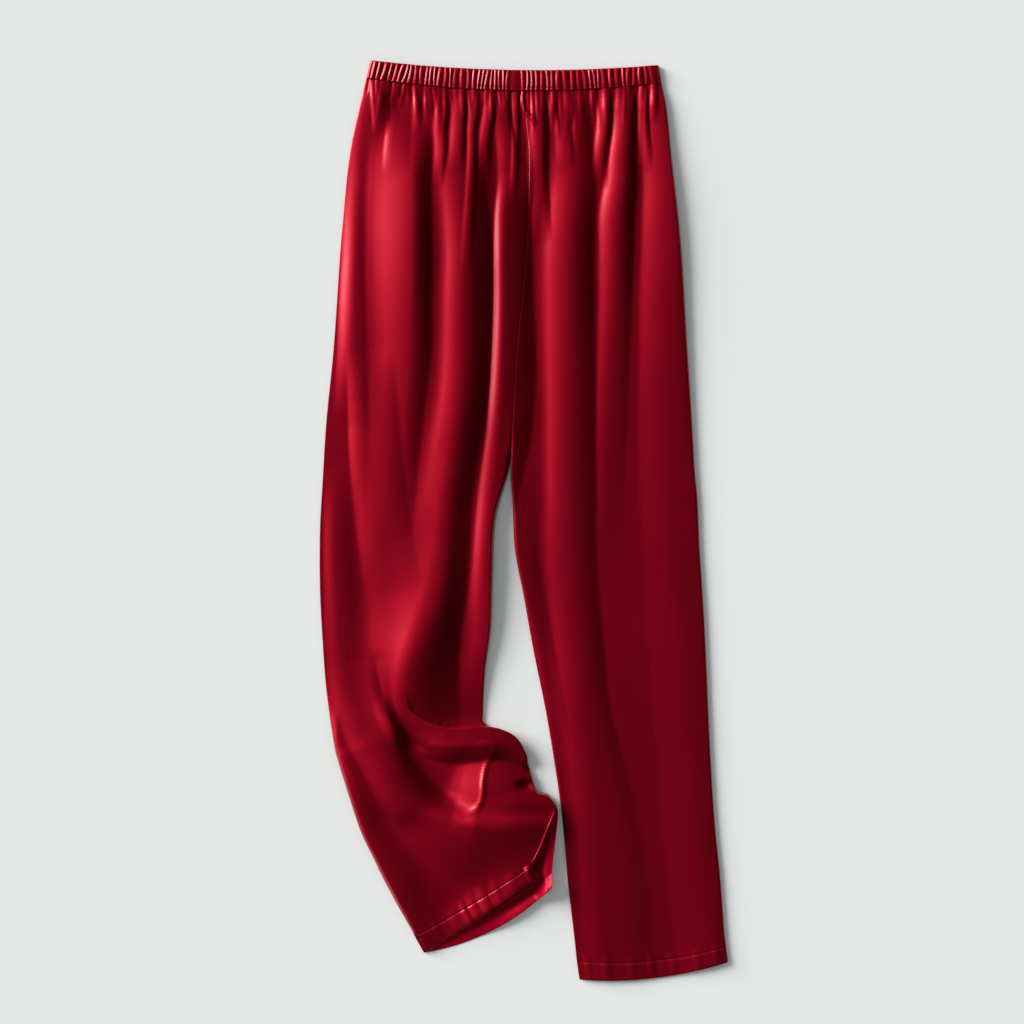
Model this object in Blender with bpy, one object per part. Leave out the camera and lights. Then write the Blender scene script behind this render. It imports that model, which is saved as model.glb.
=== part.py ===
"""Satin pyjama trousers, laid flat on a table with the back up.

X runs across the trousers, Y from the hems up to the waist and Z up from the table. The origin is
on the table, under the middle of the trousers. West is the side of the lower X. The two back
panels are the upper layer and carry the folds. The two front panels lie flat under them. A gathered
casing holds the waist, and each panel ends in a turned hem.
"""

import math
import random
from collections import namedtuple

import bmesh
import bpy
import numpy as np

# Driving sizes, in millimetres. The tables below are measured from a point that lies ORIGIN_X west
# and ORIGIN_Y south of the middle of the trousers.
MM = 0.001
ORIGIN_X = 0.333
ORIGIN_Y = 1.362
CLOTH = 1.2
HEM_CLOTH = 1.8
SEAM_GAP = 0.3
FRONT_TOP = CLOTH
BACK_RIM = FRONT_TOP + SEAM_GAP
HEM_RIM = HEM_CLOTH + SEAM_GAP
WEST_EDGE_ROUND = 19.0
EAST_EDGE_ROUND = 6.0
INNER_EDGE_ROUND = 6.0
EDGE_FULLNESS = 1.0
STEEPEST_WALL = 2.3

# The waist casing: two walls joined by round ends, gathered on the upper wall.
BAND_LOWER_WALL = 2.4
BAND_SLIT = 1.2
BAND_UPPER_WALL = 2.2
GATHER_HEIGHT = 1.5
GATHER_LEAST = 0.7
GATHER_MOST = 1.15
GATHER_LEAN = 0.08
WEST_GATHERS = 28
EAST_GATHERS = 24
BAND_END_PLAIN = 3.0
JOIN_WEST_X = -14.5
JOIN_EAST_X = -3.5
WAIST_LIFT = 2.2
WAIST_LIFT_REACH = 26.0
SEAM_HELD = 0.6
SEAM_HELD_REACH = 24.0
LEAST_LIFT = 0.2
GATHER_HEADROOM = 4.0
RANDOM_SEED = 11

# The legs part at the crotch, and their inner edges turn down to the table below it.
CROTCH_Y = 57.0
CROTCH_BLEND = 42.0

# How finely each layer is divided across its width.
LEFT_COLUMNS = 30
RIGHT_COLUMNS = 26
FRONT_COLUMNS = 6
FINE_ROWS = 12
EDGE_CROWDING = 0.45
PATH_STEP = 4.0
SHARP_ANGLE = 50.0

# A fold's widths and height are averaged over a stretch of its path, which is shorter than a share
# of the whole path and shrinks to nothing at its ends.
SMOOTHED_STRETCH = 26.0
SMOOTHED_SHARE = 0.125
SMOOTHED_PARTS = np.linspace(-1, 1, 9)

SATIN_RED = (0.32, 0.004, 0.018)
SATIN_ROUGHNESS = 0.38
SATIN_METALLIC = 0.35

# A section crosses a leg from its west to its east edge. Its middle is bowed towards the hem by
# `bow`, and `steps` rows of the mesh lie between it and the next section.
Section = namedtuple("Section", "west_x west_y east_x east_y bow steps")

BACK_LEFT_SECTIONS = [
    Section(-171, 481, -3, 467, 0, 4),
    Section(-179, 447, 0, 446, 0, 3),
    Section(-189, 397, 6, 397, 0, 4),
    Section(-198, 305, 4, 305, 0, 3),
    Section(-206, 191, -5, 191, 0, 3),
    Section(-214, 110, -10, 110, 0, 2),
    Section(-218, 46, -16, 57, 0, 2),
    Section(-221, -9, -30, 2, 0, 3),
    Section(-221, -73, -33, -58, 0, 5),
    Section(-218, -131, -35, -115, 0, 5),
    Section(-214, -183, -41, -159, 0, 5),
    Section(-206, -240, -44, -206, 0, 2),
    Section(-201, -261, -43, -218, 0, 2),
    Section(-194, -284, -26, -227, 0, 2),
    Section(-186, -309, -9, -236, 0, 3),
    Section(-176, -338, 2, -253, 0, 3),
    Section(-163, -365, 8, -272, 0, 2),
    Section(-153, -386, 15, -292, 0, 1),
    Section(-146, -399, 27, -296, 0, 2),
    Section(-138, -414, 36, -310, 0, 2),
    Section(-129, -430, 29, -330, 0, 2),
    Section(-122, -442, 19, -355, 2, 2),
    Section(-118, -450, 11, -370, 3, 2),
    Section(-108, -468, 18, -383, 3, 0),
]

# Towards its hem the left front panel shows past the back panel's east edge.
FRONT_LEFT_SECTIONS = BACK_LEFT_SECTIONS[:19] + [
    Section(-138, -414, 37, -312, 0, 2),
    Section(-129, -430, 35, -340, 3, 2),
    Section(-122, -442, 32, -366, 8, 2),
    Section(-118, -450, 31, -380, 12, 2),
    Section(-108, -468, 31, -395, 13, 0),
]

BACK_RIGHT_SECTIONS = [
    Section(-3, 467, 150, 475, 0, 4),
    Section(0, 446, 156, 447, 0, 3),
    Section(6, 397, 161, 397, 0, 4),
    Section(4, 305, 171, 305, 0, 3),
    Section(-5, 191, 178, 191, 0, 2),
    Section(-10, 110, 183, 110, 0, 2),
    Section(-14, 57, 186, 57, 0, 1),
    Section(-12, 24, 189, 24, 0, 1),
    Section(-10, -23, 191, -23, 0, 1),
    Section(-6, -50, 193, -54, 0, 1),
    Section(0, -79, 195, -85, 0, 2),
    Section(11, -140, 198, -140, 0, 2),
    Section(24, -204, 201, -210, 0, 2),
    Section(35, -270, 204, -270, 0, 2),
    Section(43, -329, 208, -329, 0, 2),
    Section(48, -389, 214, -389, 0, 2),
    Section(55, -449, 218, -443, 3, 1),
    Section(58, -477, 220, -461, 8, 2),
    Section(61, -497, 222, -478, 8, 0),
]

# A fold follows its stations from the waist down. `west` and `east` are the widths of the slopes
# on the two sides of its crest, as seen while its path runs down, and `height` is the crest's.
Station = namedtuple("Station", "y x west east height")

FOLDS = {
    "west edge roll": [
        Station(459, -170, 12, 44, 1.5),
        Station(404, -178, 14, 46, 2.5),
        Station(372, -178, 16, 46, 3),
        Station(334, -180, 18, 46, 4),
        Station(296, -181, 18, 46, 5),
        Station(241, -182, 20, 48, 5.5),
        Station(187, -181, 24, 48, 5),
        Station(160, -182, 24, 48, 3.4),
        Station(133, -184, 24, 48, 1.6),
        Station(105, -186, 24, 48, 0),
    ],
    "left outer sweep": [
        Station(64, -203, 14, 26, 0),
        Station(24, -205, 14, 28, 1.5),
        Station(-30, -205, 14, 30, 2.4),
        Station(-85, -201, 18, 34, 2.4),
        Station(-139, -197, 22, 36, 2.2),
        Station(-172, -193, 22, 38, 2),
        Station(-210, -181, 22, 38, 2.2),
        Station(-231, -175, 20, 38, 2.8),
        Station(-253, -162, 20, 38, 3.8),
        Station(-275, -146, 24, 37, 5.4),
        Station(-291, -132, 31, 35, 7.2),
        Station(-308, -115, 40, 32, 8.2),
        Station(-321, -94, 52, 30, 8.6),
        Station(-330, -68, 64, 28, 8.8),
        Station(-334, -40, 76, 26, 8.4),
        Station(-334, -14, 84, 24, 7),
        Station(-332, 10, 84, 22, 5.5),
        Station(-330, 34, 80, 20, 4),
    ],
    "left shin edge roll": [
        Station(-225, -205, 6, 8, 0),
        Station(-242, -201, 6, 12, 0.8),
        Station(-261, -196, 6, 15, 1.6),
        Station(-284, -189, 6, 20, 2.4),
        Station(-309, -181, 7, 27, 3.4),
        Station(-338, -171, 7, 36, 4.6),
        Station(-365, -158, 7, 48, 5.4),
        Station(-386, -147, 7, 58, 5.8),
        Station(-414, -132, 7, 58, 5.2),
        Station(-444, -116, 7, 54, 3.4),
    ],
    "west hip line": [
        Station(475, -159, 6, 12, 1.6),
        Station(455, -158, 7, 14, 2.6),
        Station(437, -158, 7, 14, 1.8),
        Station(420, -158, 7, 14, 0),
    ],
    "west hip second line": [
        Station(448, -141, 8, 18, 0),
        Station(430, -141, 9, 20, 1.6),
        Station(404, -143, 10, 22, 1.4),
        Station(376, -144, 10, 22, 0),
    ],
    "west hip swell": [
        Station(436, -121, 50, 22, 0),
        Station(404, -120, 52, 22, 5),
        Station(372, -121, 53, 22, 7.8),
        Station(334, -121, 54, 22, 9.2),
        Station(296, -121, 54, 23, 9.4),
        Station(241, -122, 53, 24, 8.2),
        Station(187, -123, 50, 25, 6),
        Station(133, -127, 44, 22, 3.8),
        Station(78, -131, 40, 20, 2.2),
        Station(24, -134, 38, 18, 1.2),
        Station(-20, -136, 36, 18, 0),
    ],
    "west thigh line": [
        Station(186, -174, 20, 36, 0),
        Station(133, -172, 20, 38, 4),
        Station(78, -169, 22, 40, 4.4),
        Station(24, -163, 24, 40, 3.6),
        Station(-30, -155, 26, 40, 2.6),
        Station(-80, -147, 26, 40, 0),
    ],
    "left body arch": [
        Station(462, -98, 72, 98, 0),
        Station(437, -98, 72, 98, 2),
        Station(404, -98, 74, 100, 5),
        Station(372, -97, 76, 104, 8),
        Station(334, -96, 78, 106, 9),
        Station(296, -96, 78, 108, 9.5),
        Station(241, -95, 79, 108, 9),
        Station(187, -95, 79, 108, 8),
        Station(133, -97, 78, 104, 7),
        Station(78, -100, 76, 96, 6.5),
        Station(24, -105, 78, 88, 6),
        Station(-30, -110, 76, 80, 5),
        Station(-85, -116, 70, 74, 3),
        Station(-139, -122, 60, 70, 1),
        Station(-170, -126, 56, 66, 0),
    ],
    "west thigh crease": [
        Station(472, -86, 10, 5, 1.6),
        Station(448, -85, 13, 5, 2.4),
        Station(426, -87, 12, 4.5, 2.4),
        Station(404, -87, 11, 4.5, 2),
        Station(384, -89, 10, 4.5, 1.1),
        Station(362, -91, 10, 4.5, 0),
    ],
    "thigh gather": [
        Station(470, -66, 12, 5, 1.8),
        Station(448, -66, 14, 5, 2.6),
        Station(426, -67, 14, 5, 2.8),
        Station(404, -68, 14, 6, 2),
        Station(380, -69, 14, 6, 0),
    ],
    "long thigh fold": [
        Station(430, -67, 32, 24, 0),
        Station(404, -67, 32, 25, 1.4),
        Station(372, -66, 33, 26, 4.4),
        Station(334, -62, 34, 27, 6.6),
        Station(296, -59, 35, 26, 7.8),
        Station(241, -60, 36, 28, 7.8),
        Station(187, -61, 36, 27, 7.6),
        Station(133, -65, 36, 27, 6.6),
        Station(78, -73, 38, 26, 4.6),
        Station(24, -81, 40, 26, 2.2),
        Station(-16, -86, 42, 26, 0),
    ],
    "lower thigh fold": [
        Station(190, -62, 44, 27, 0),
        Station(133, -66, 44, 27, 1.2),
        Station(78, -73, 48, 26, 3),
        Station(24, -80, 56, 26, 5.2),
        Station(-30, -84, 70, 27, 7.6),
        Station(-85, -93, 84, 30, 10.5),
        Station(-112, -103, 86, 39, 13),
        Station(-139, -115, 82, 52, 15),
        Station(-165, -124, 70, 60, 14.5),
        Station(-190, -129, 56, 66, 11.5),
        Station(-208, -131, 46, 66, 7.5),
        Station(-224, -131, 40, 66, 3.5),
        Station(-244, -130, 36, 66, 0),
    ],
    "shin roll": [
        Station(-176, -133, 30, 14, 0),
        Station(-190, -135, 30, 14, 0.5),
        Station(-202, -134, 30, 13, 1.6),
        Station(-212, -128, 30, 12, 3.4),
        Station(-221, -117, 32, 12, 5.8),
        Station(-228, -104, 32, 13, 8.2),
        Station(-233, -90, 30, 14, 10),
        Station(-235, -72, 29, 14, 11),
        Station(-234, -52, 28, 14, 11.5),
        Station(-234, -34, 26, 13, 11.5),
        Station(-239, -14, 22, 11, 10),
        Station(-248, 2, 20, 10, 8),
    ],
    "shin crease": [
        Station(-140, -160, 14, 34, 0),
        Station(-165, -156, 14, 38, -2),
        Station(-192, -149, 14, 42, -4),
        Station(-206, -143, 14, 46, -5),
        Station(-218, -137, 14, 48, -5.6),
        Station(-231, -131, 14, 48, -5.8),
        Station(-243, -126, 14, 48, -5.8),
        Station(-254, -121, 15, 46, -5.8),
        Station(-266, -111, 17, 42, -5.5),
        Station(-276, -101, 20, 36, -5),
        Station(-287, -89, 24, 32, -4.2),
        Station(-298, -76, 28, 26, -2.8),
        Station(-306, -64, 30, 22, -1.2),
        Station(-312, -54, 30, 20, 0),
    ],
    "shin overlap": [
        Station(-150, -168, 70, 22, 0),
        Station(-180, -165, 74, 22, 1.4),
        Station(-200, -162, 78, 22, 3),
        Station(-215, -159, 80, 22, 4.8),
        Station(-231, -152, 80, 22, 6.8),
        Station(-244, -147, 80, 23, 7.8),
        Station(-253, -142, 80, 24, 8.2),
        Station(-263, -132, 78, 26, 7.6),
        Station(-272, -119, 74, 28, 6),
        Station(-280, -102, 68, 30, 4),
        Station(-286, -85, 60, 30, 1.5),
        Station(-290, -70, 56, 30, 0),
    ],
    "left shin bulge": [
        Station(-244, -32, 12, 60, 0),
        Station(-254, -37, 22, 70, 3.4),
        Station(-268, -41, 38, 80, 6.8),
        Station(-280, -43, 47, 86, 9.6),
        Station(-292, -45, 50, 90, 11.8),
        Station(-301, -46, 48, 92, 12.4),
        Station(-309, -48, 46, 92, 12),
        Station(-316, -49.5, 50, 92, 10.4),
        Station(-326, -51.5, 70, 92, 8),
        Station(-340, -54, 84, 92, 5.6),
        Station(-358, -57, 90, 92, 3.4),
        Station(-380, -60, 90, 92, 1.4),
        Station(-402, -63, 90, 92, 0),
    ],
    "second thigh fold": [
        Station(472, -51, 11, 4, 2),
        Station(448, -51, 11, 4, 2.4),
        Station(426, -54, 9, 4, 2.2),
        Station(404, -54, 8, 4.5, 2.2),
        Station(372, -55, 8, 5, 2),
        Station(334, -57, 9, 5, 1.6),
        Station(296, -59, 9, 5, 0.8),
        Station(270, -60, 9, 5, 0),
    ],
    "third thigh fold": [
        Station(472, -34, 12, 4, 2.2),
        Station(448, -34, 12, 4.5, 2.6),
        Station(426, -38, 11, 5.5, 2.5),
        Station(404, -41, 9, 7, 2),
        Station(382, -42, 8, 8, 1),
        Station(360, -42, 8, 8, 0),
    ],
    "inner gather": [
        Station(472, -18, 14, 5, 1.8),
        Station(448, -18, 15, 5, 2.6),
        Station(426, -17, 16, 7, 2.4),
        Station(404, -14, 16, 9, 1.6),
        Station(380, -13, 16, 10, 0),
    ],
    "inner strip": [
        Station(432, -14, 18, 22, 0),
        Station(404, -13, 18, 24, 1.8),
        Station(372, -12, 18, 25, 4.2),
        Station(334, -16, 17, 26, 5.8),
        Station(296, -17, 17, 28, 7),
        Station(241, -17, 17, 29, 7.2),
        Station(187, -18, 18, 33, 7.4),
        Station(133, -20, 19, 35, 7.2),
        Station(95, -22, 21, 32, 6.4),
        Station(78, -24, 21, 30, 5.8),
        Station(24, -32, 20, 26, 3.6),
        Station(-30, -39, 16, 24, 2.2),
        Station(-85, -45, 15, 24, 1),
        Station(-120, -48, 15, 24, 0),
    ],
    "left inner edge": [
        Station(84, -9, 58, 30, 0),
        Station(57, -14, 56, 30, 1.5),
        Station(24, -21, 54, 30, 4.5),
        Station(-9, -27, 52, 30, 6.5),
        Station(-58, -30, 50, 30, 8),
        Station(-115, -32, 50, 30, 8),
        Station(-160, -38, 52, 30, 5),
        Station(-190, -42, 52, 30, 2),
        Station(-210, -42, 52, 30, 0),
    ],
    "centre crease": [
        Station(478, -7, 6, 3, 1.6),
        Station(448, -7, 8, 3.5, 2.2),
        Station(426, -7, 7, 3.5, 2.2),
        Station(404, -7, 6, 4, 1.8),
        Station(372, -8, 6, 4, 1),
        Station(350, -9, 6, 4, 0),
    ],
    "right seat crease": [
        Station(470, 19, 16, 7, 1.8),
        Station(448, 19, 17, 8, 3),
        Station(426, 19, 17, 9, 4.6),
        Station(404, 19, 16, 9, 4),
        Station(372, 19, 16, 9, 2.6),
        Station(334, 21, 15, 9, 1.6),
        Station(305, 23, 14, 9, 0),
    ],
    "right seat gather": [
        Station(470, 34, 6, 3.5, 1.8),
        Station(448, 34, 7, 3.5, 2),
        Station(430, 36, 7, 4, 1),
        Station(414, 37, 7, 4, 0),
    ],
    "right long gather": [
        Station(470, 50, 13, 5, 1.8),
        Station(448, 50, 14, 5, 2.6),
        Station(426, 47, 14, 6, 2.4),
        Station(404, 48, 14, 7, 1.4),
        Station(384, 49, 14, 7, 0),
    ],
    "right long fold": [
        Station(440, 54, 34, 22, 0),
        Station(404, 56, 34, 22, 2.4),
        Station(372, 57, 35, 23, 4.8),
        Station(334, 54, 37, 26, 6.6),
        Station(296, 51, 38, 28, 7),
        Station(241, 50, 37, 29, 6.6),
        Station(187, 49, 34, 31, 6),
        Station(133, 49, 32, 31, 5.6),
        Station(78, 49, 32, 31, 5.4),
        Station(24, 50, 33, 31, 5.2),
        Station(-30, 51, 36, 30, 4.8),
        Station(-85, 56, 38, 28, 4.6),
        Station(-139, 61, 38, 28, 4.6),
        Station(-193, 64, 36, 30, 4.2),
        Station(-250, 71, 34, 36, 3.6),
        Station(-302, 78, 34, 44, 3),
        Station(-378, 86, 34, 50, 2.4),
        Station(-443, 90, 34, 54, 2),
        Station(-510, 92, 34, 54, 1.6),
    ],
    "right hip pinch": [
        Station(468, 60, 7, 9, 1.6),
        Station(448, 60, 9, 11, 2.4),
        Station(426, 60, 12, 15, 2.6),
        Station(404, 60, 12, 15, 1),
        Station(386, 60, 12, 15, 0),
    ],
    "right inner roll": [
        Station(110, -8, 9, 20, 0.3),
        Station(46, -7, 9, 22, 0.5),
        Station(2, -6, 9, 22, 0.8),
        Station(-41, -2, 9, 20, 1),
        Station(-85, 8, 9, 18, 1.2),
        Station(-140, 20, 9, 16, 1.2),
        Station(-204, 33, 9, 14, 0.8),
        Station(-270, 43, 9, 12, 0),
    ],
    "right hip pleat": [
        Station(472, 91, 9, 5, 2.4),
        Station(448, 91, 12, 5.5, 3.6),
        Station(426, 90, 13, 6, 3.8),
        Station(404, 87, 12, 6, 3.2),
        Station(384, 85, 11, 7, 1.6),
        Station(362, 84, 10, 8, 0),
    ],
    "right thigh fold": [
        Station(472, 112, 16, 9, 2.4),
        Station(448, 113, 18, 10, 4.4),
        Station(426, 112, 18, 11, 5.6),
        Station(404, 110, 20, 13, 5.8),
        Station(372, 109, 23, 15, 6),
        Station(334, 104, 24, 18, 6),
        Station(296, 103, 23, 18, 4.6),
        Station(241, 100, 20, 19, 3.2),
        Station(187, 96, 17, 21, 2.4),
        Station(133, 93, 15, 22, 1.8),
        Station(78, 91, 13, 22, 1.2),
        Station(24, 90, 12, 20, 0.6),
        Station(-30, 89, 12, 20, 0),
    ],
    "east hip crease": [
        Station(470, 132, 8, 4, 2.2),
        Station(448, 132, 9, 4.5, 2.6),
        Station(426, 132, 9, 5, 2.4),
        Station(404, 133, 9, 7, 1.3),
        Station(382, 133, 9, 8, 0),
    ],
    "east edge roll": [
        Station(475, 150, 20, 12, 2),
        Station(448, 153, 24, 12, 3.6),
        Station(404, 158, 32, 14, 5.6),
        Station(372, 161, 34, 16, 6.8),
        Station(334, 163, 36, 18, 7.4),
        Station(296, 166, 42, 20, 6.8),
        Station(241, 165, 42, 26, 6),
        Station(187, 166, 44, 30, 5),
        Station(133, 168, 46, 34, 4),
        Station(78, 170, 48, 36, 3.4),
        Station(24, 173, 50, 36, 3),
        Station(-85, 181, 54, 36, 2.6),
        Station(-193, 189, 52, 34, 2.4),
        Station(-302, 195, 50, 32, 2.4),
        Station(-400, 203, 48, 30, 2.4),
        Station(-510, 211, 46, 28, 2.4),
    ],
    "left ankle roll": [
        Station(-334, -60, 50, 34, 0),
        Station(-331, -38, 60, 36, 1.5),
        Station(-326, -18, 70, 36, 3),
        Station(-321, 0, 76, 34, 4),
        Station(-318, 18, 76, 32, 4.5),
        Station(-318, 38, 74, 26, 4.5),
    ],
    "left hem rise": [
        Station(-456, -88, 3, 34, 0),
        Station(-441, -66, 3, 34, 3),
        Station(-426, -43, 3, 35, 6),
        Station(-411, -21, 3, 36, 7.5),
        Station(-396, 0, 3, 36, 7),
        Station(-383, 19, 3, 34, 5),
    ],
}

# Short gathers that the waist casing draws into the panels below it.
Gather = namedtuple("Gather", "x length half_width height")

GATHERS = [
    Gather(-148, 24, 4, 1.2),
    Gather(-138, 20, 4, 1.0),
    Gather(-128, 18, 4, 1.2),
    Gather(-115, 58, 5, 1.6),
    Gather(-104, 44, 5, 1.6),
    Gather(-97, 28, 3.5, 1.4),
    Gather(76, 26, 4, 1.8),
    Gather(141, 46, 5, 1.8),
]

# Broad, low swellings of the upper layer, where the cloth stands off the one below.
Swell = namedtuple("Swell", "x y half_width half_length height")

SWELLS = [
    Swell(-130, 200, 110, 330, 1.5),
    Swell(-120, -150, 100, 230, 1.5),
    Swell(-40, -30, 90, 130, 3.0),
    Swell(90, 200, 110, 330, 1.5),
    Swell(110, -220, 110, 330, 1.5),
    Swell(-34, -300, 100, 110, 3.5),
    Swell(3, -285, 15, 8, -5.0),
]

# Folds that the left leg has for itself, also where they reach past its inner edge.
LEFT_LEG_ALONE = (
    "west edge roll", "left outer sweep", "left shin edge roll", "lower thigh fold", "shin roll",
    "shin crease", "shin overlap", "left shin bulge", "left inner edge", "left ankle roll",
    "left hem rise",
)

# The shares of a slope's width over which its crest and its foot are rounded. Most folds have full
# crests and meet in sharp valleys.
Rounding = namedtuple("Rounding", "west_crest west_foot east_crest east_foot")

FULL_CREST = Rounding(0.72, 0.12, 0.72, 0.12)

FOLD_ROUNDING = {
    "west edge roll": Rounding(0.72, 0.12, 0.30, 0.65),
    "left outer sweep": Rounding(0.60, 0.20, 0.50, 0.40),
    "left body arch": Rounding(0.60, 0.30, 0.60, 0.30),
    "lower thigh fold": Rounding(0.22, 0.72, 0.45, 0.12),
    "long thigh fold": Rounding(0.62, 0.34, 0.72, 0.12),
    "right long fold": Rounding(0.62, 0.34, 0.72, 0.12),
    "shin roll": Rounding(0.35, 0.25, 0.72, 0.12),
    "shin crease": Rounding(0.20, 0.60, 0.20, 0.60),
    "shin overlap": Rounding(0.35, 0.60, 0.30, 0.15),
    "left shin bulge": Rounding(0.06, 0.34, 0.72, 0.12),
    "left ankle roll": Rounding(0.72, 0.25, 0.72, 0.20),
    "left shin edge roll": Rounding(0.60, 0.20, 0.35, 0.55),
    "left inner edge": Rounding(0.40, 0.55, 0.50, 0.40),
    "left hem rise": Rounding(0.20, 0.60, 0.12, 0.60),
}

# The share of a slope's width, next to the crest, over which a fold's top is flat.
FLAT_TOPS = {
    "shin roll": 0.4,
    "shin overlap": 0.5,
    "left ankle roll": 0.15,
}

# Corners of the waist casing.
BAND_TOP_WEST = (-166.0, 501.0)
BAND_TOP_EAST = (147.0, 496.0)
BAND_FOOT_WEST = (-171.0, 481.5)
BAND_FOOT_EAST = (150.0, 476.0)
BAND_TOP_BOW = 8.0
BAND_FOOT_BOW = 11.4
BAND_FRONT_COLUMNS = 14
BAND_END_STEPS = 4

# A row round the casing: how far down it lies, how full its gathers are, and how far its outer
# face is let down.
BandRow = namedtuple("BandRow", "down fullness drop")

BAND_ROWS = [
    BandRow(0.0, 0.35, 0.9),
    BandRow(0.3, 1.0, 0.0),
    BandRow(0.75, 1.0, 0.0),
    BandRow(1.0, 0.5, 0.5),
]

# Points across one gather of the casing: the share of its pitch and of its height.
GatherPoint = namedtuple("GatherPoint", "across height")

GATHER_POINTS = [
    GatherPoint(0.33, 1.0),
    GatherPoint(0.68, 0.85),
]


def through(stations, values, at):
    """Values of a smooth curve through a table's values, which keeps close to them."""
    slopes = np.gradient(values, stations)
    place = np.clip(np.searchsorted(stations, at, side="right") - 1, 0, len(stations) - 2)
    span = stations[place + 1] - stations[place]
    t = (at - stations[place]) / span
    return (
        (2 * t**3 - 3 * t**2 + 1) * values[place]
        + (t**3 - 2 * t**2 + t) * span * slopes[place]
        + (3 * t**2 - 2 * t**3) * values[place + 1]
        + (t**3 - t**2) * span * slopes[place + 1]
    )


def path_lengths(x, y):
    """Distance from a path's start to each of its points."""
    return np.concatenate([[0.0], np.cumsum(np.hypot(np.diff(x), np.diff(y)))])


def fold_path(stations):
    """Points along a fold's crest, close together, with its unit direction, widths and height."""
    table = np.array(stations, dtype=float)
    y, x, west, east, height = table.T
    length = path_lengths(x, y)
    at = np.linspace(0.0, length[-1], max(2, int(length[-1] / PATH_STEP)))
    crest_x = through(length, x, at)
    crest_y = through(length, y, at)
    step_x = np.gradient(crest_x)
    step_y = np.gradient(crest_y)
    step = np.hypot(step_x, step_y)
    stretch = min(SMOOTHED_STRETCH, SMOOTHED_SHARE * length[-1])
    stretch = np.minimum(stretch, np.minimum(at, length[-1] - at))
    shape = [
        np.mean([np.interp(at + part * stretch, length, column) for part in SMOOTHED_PARTS], axis=0)
        for column in (west, east, height)
    ]
    return np.array([crest_x, crest_y, step_x / step, step_y / step, *shape])


def slope_profile(out, round_crest, round_foot):
    """Height share across a slope: a round crest, a straight fall and a round foot."""
    fall = 1 / (1 - (round_crest + round_foot) / 2)
    crest = 1 - fall * out**2 / (2 * round_crest)
    slope = 1 - fall * (out - round_crest / 2)
    foot = fall * (1 - out) ** 2 / (2 * round_foot)
    return np.where(out < round_crest, crest, np.where(out > 1 - round_foot, foot, slope))


def fold_height(path, rounding, flat, x, y):
    """Height that one fold adds at each point."""
    crest_x, crest_y, along_x, along_y, west, east, _ = path
    added = np.zeros_like(x)
    reach = max(west.max(), east.max())
    near = (
        (x > crest_x.min() - reach)
        & (x < crest_x.max() + reach)
        & (y > crest_y.min() - reach)
        & (y < crest_y.max() + reach)
    )
    if not near.any():
        return added
    from_x = x[near][:, None] - crest_x
    from_y = y[near][:, None] - crest_y
    closest = np.argmin(from_x**2 + from_y**2, axis=1)
    row = np.arange(len(closest))
    # The nearest point of the path lies between two of its points, on either side of the closest.
    ahead = from_x[row, closest] * along_x[closest] + from_y[row, closest] * along_y[closest]
    last = len(crest_x) - 1
    spacing = np.hypot(crest_x[1] - crest_x[0], crest_y[1] - crest_y[0])
    place = np.clip(closest + ahead / spacing, 0, last)
    low = np.clip(place.astype(int), 0, last - 1)
    part = place - low
    near_x, near_y, way_x, way_y, near_west, near_east, crest = (
        column[low] * (1 - part) + column[low + 1] * part for column in path
    )
    off_x = x[near] - near_x
    off_y = y[near] - near_y
    aside = way_x * off_y - way_y * off_x
    out = np.hypot(off_x, off_y) / np.where(aside > 0, near_east, near_west)
    out = np.clip((out - flat) / (1 - flat), 0.0, 1.0)
    west_share = slope_profile(out, rounding.west_crest, rounding.west_foot)
    east_share = slope_profile(out, rounding.east_crest, rounding.east_foot)
    added[near] = crest * np.where(aside > 0, east_share, west_share)
    return added


def smooth_step(value):
    clipped = np.clip(value, 0.0, 1.0)
    return clipped * clipped * (3 - 2 * clipped)


def band_share(x, west, east):
    """How far across the band x lies, from 0 at its west end to 1 at its east end."""
    return (x - west[0]) / (east[0] - west[0])


def band_edge(share, west, east, bow):
    """Y of the band's top or foot at a share of its width."""
    return west[1] + (east[1] - west[1]) * share - bow * 4 * share * (1 - share)


def band_foot(x):
    share = band_share(x, BAND_FOOT_WEST, BAND_FOOT_EAST)
    return band_edge(share, BAND_FOOT_WEST, BAND_FOOT_EAST, BAND_FOOT_BOW)


def gather_stations(gather):
    """A gather as a short fold that runs down from the band's foot and dies away."""
    top = float(band_foot(gather.x)) + GATHER_HEADROOM
    slopes = (gather.half_width, gather.half_width)
    return [
        Station(top, gather.x, *slopes, gather.height),
        Station(top - gather.length / 2, gather.x, *slopes, gather.height),
        Station(top - gather.length, gather.x, *slopes, 0),
    ]


def all_paths(left_out=()):
    """Every fold's path with its rounding and its flat top."""
    paths = [
        (fold_path(rows), FOLD_ROUNDING.get(name, FULL_CREST), FLAT_TOPS.get(name, 0.0))
        for name, rows in FOLDS.items()
        if name not in left_out
    ]
    return paths + [(fold_path(gather_stations(gather)), FULL_CREST, 0.0) for gather in GATHERS]


def cloth_lift(paths, x, y):
    """How far the upper layer stands above its lowest resting height."""
    lift = WAIST_LIFT * np.exp(-(((band_foot(x) - y) / WAIST_LIFT_REACH) ** 2))
    for swell in SWELLS:
        across = ((x - swell.x) / swell.half_width) ** 2
        along = ((y - swell.y) / swell.half_length) ** 2
        lift = lift + swell.height * smooth_step(1 - np.sqrt(across + along))
    for path, rounding, flat in paths:
        lift = lift + fold_height(path, rounding, flat, x, y)
    return np.maximum(lift, LEAST_LIFT)


def columns_across(count):
    """Shares of a section's width, closer together towards its edges."""
    even = np.linspace(0.0, 1.0, count + 1)
    crowded = (1 - np.cos(np.pi * even)) / 2
    return even + EDGE_CROWDING * (crowded - even)


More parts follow.
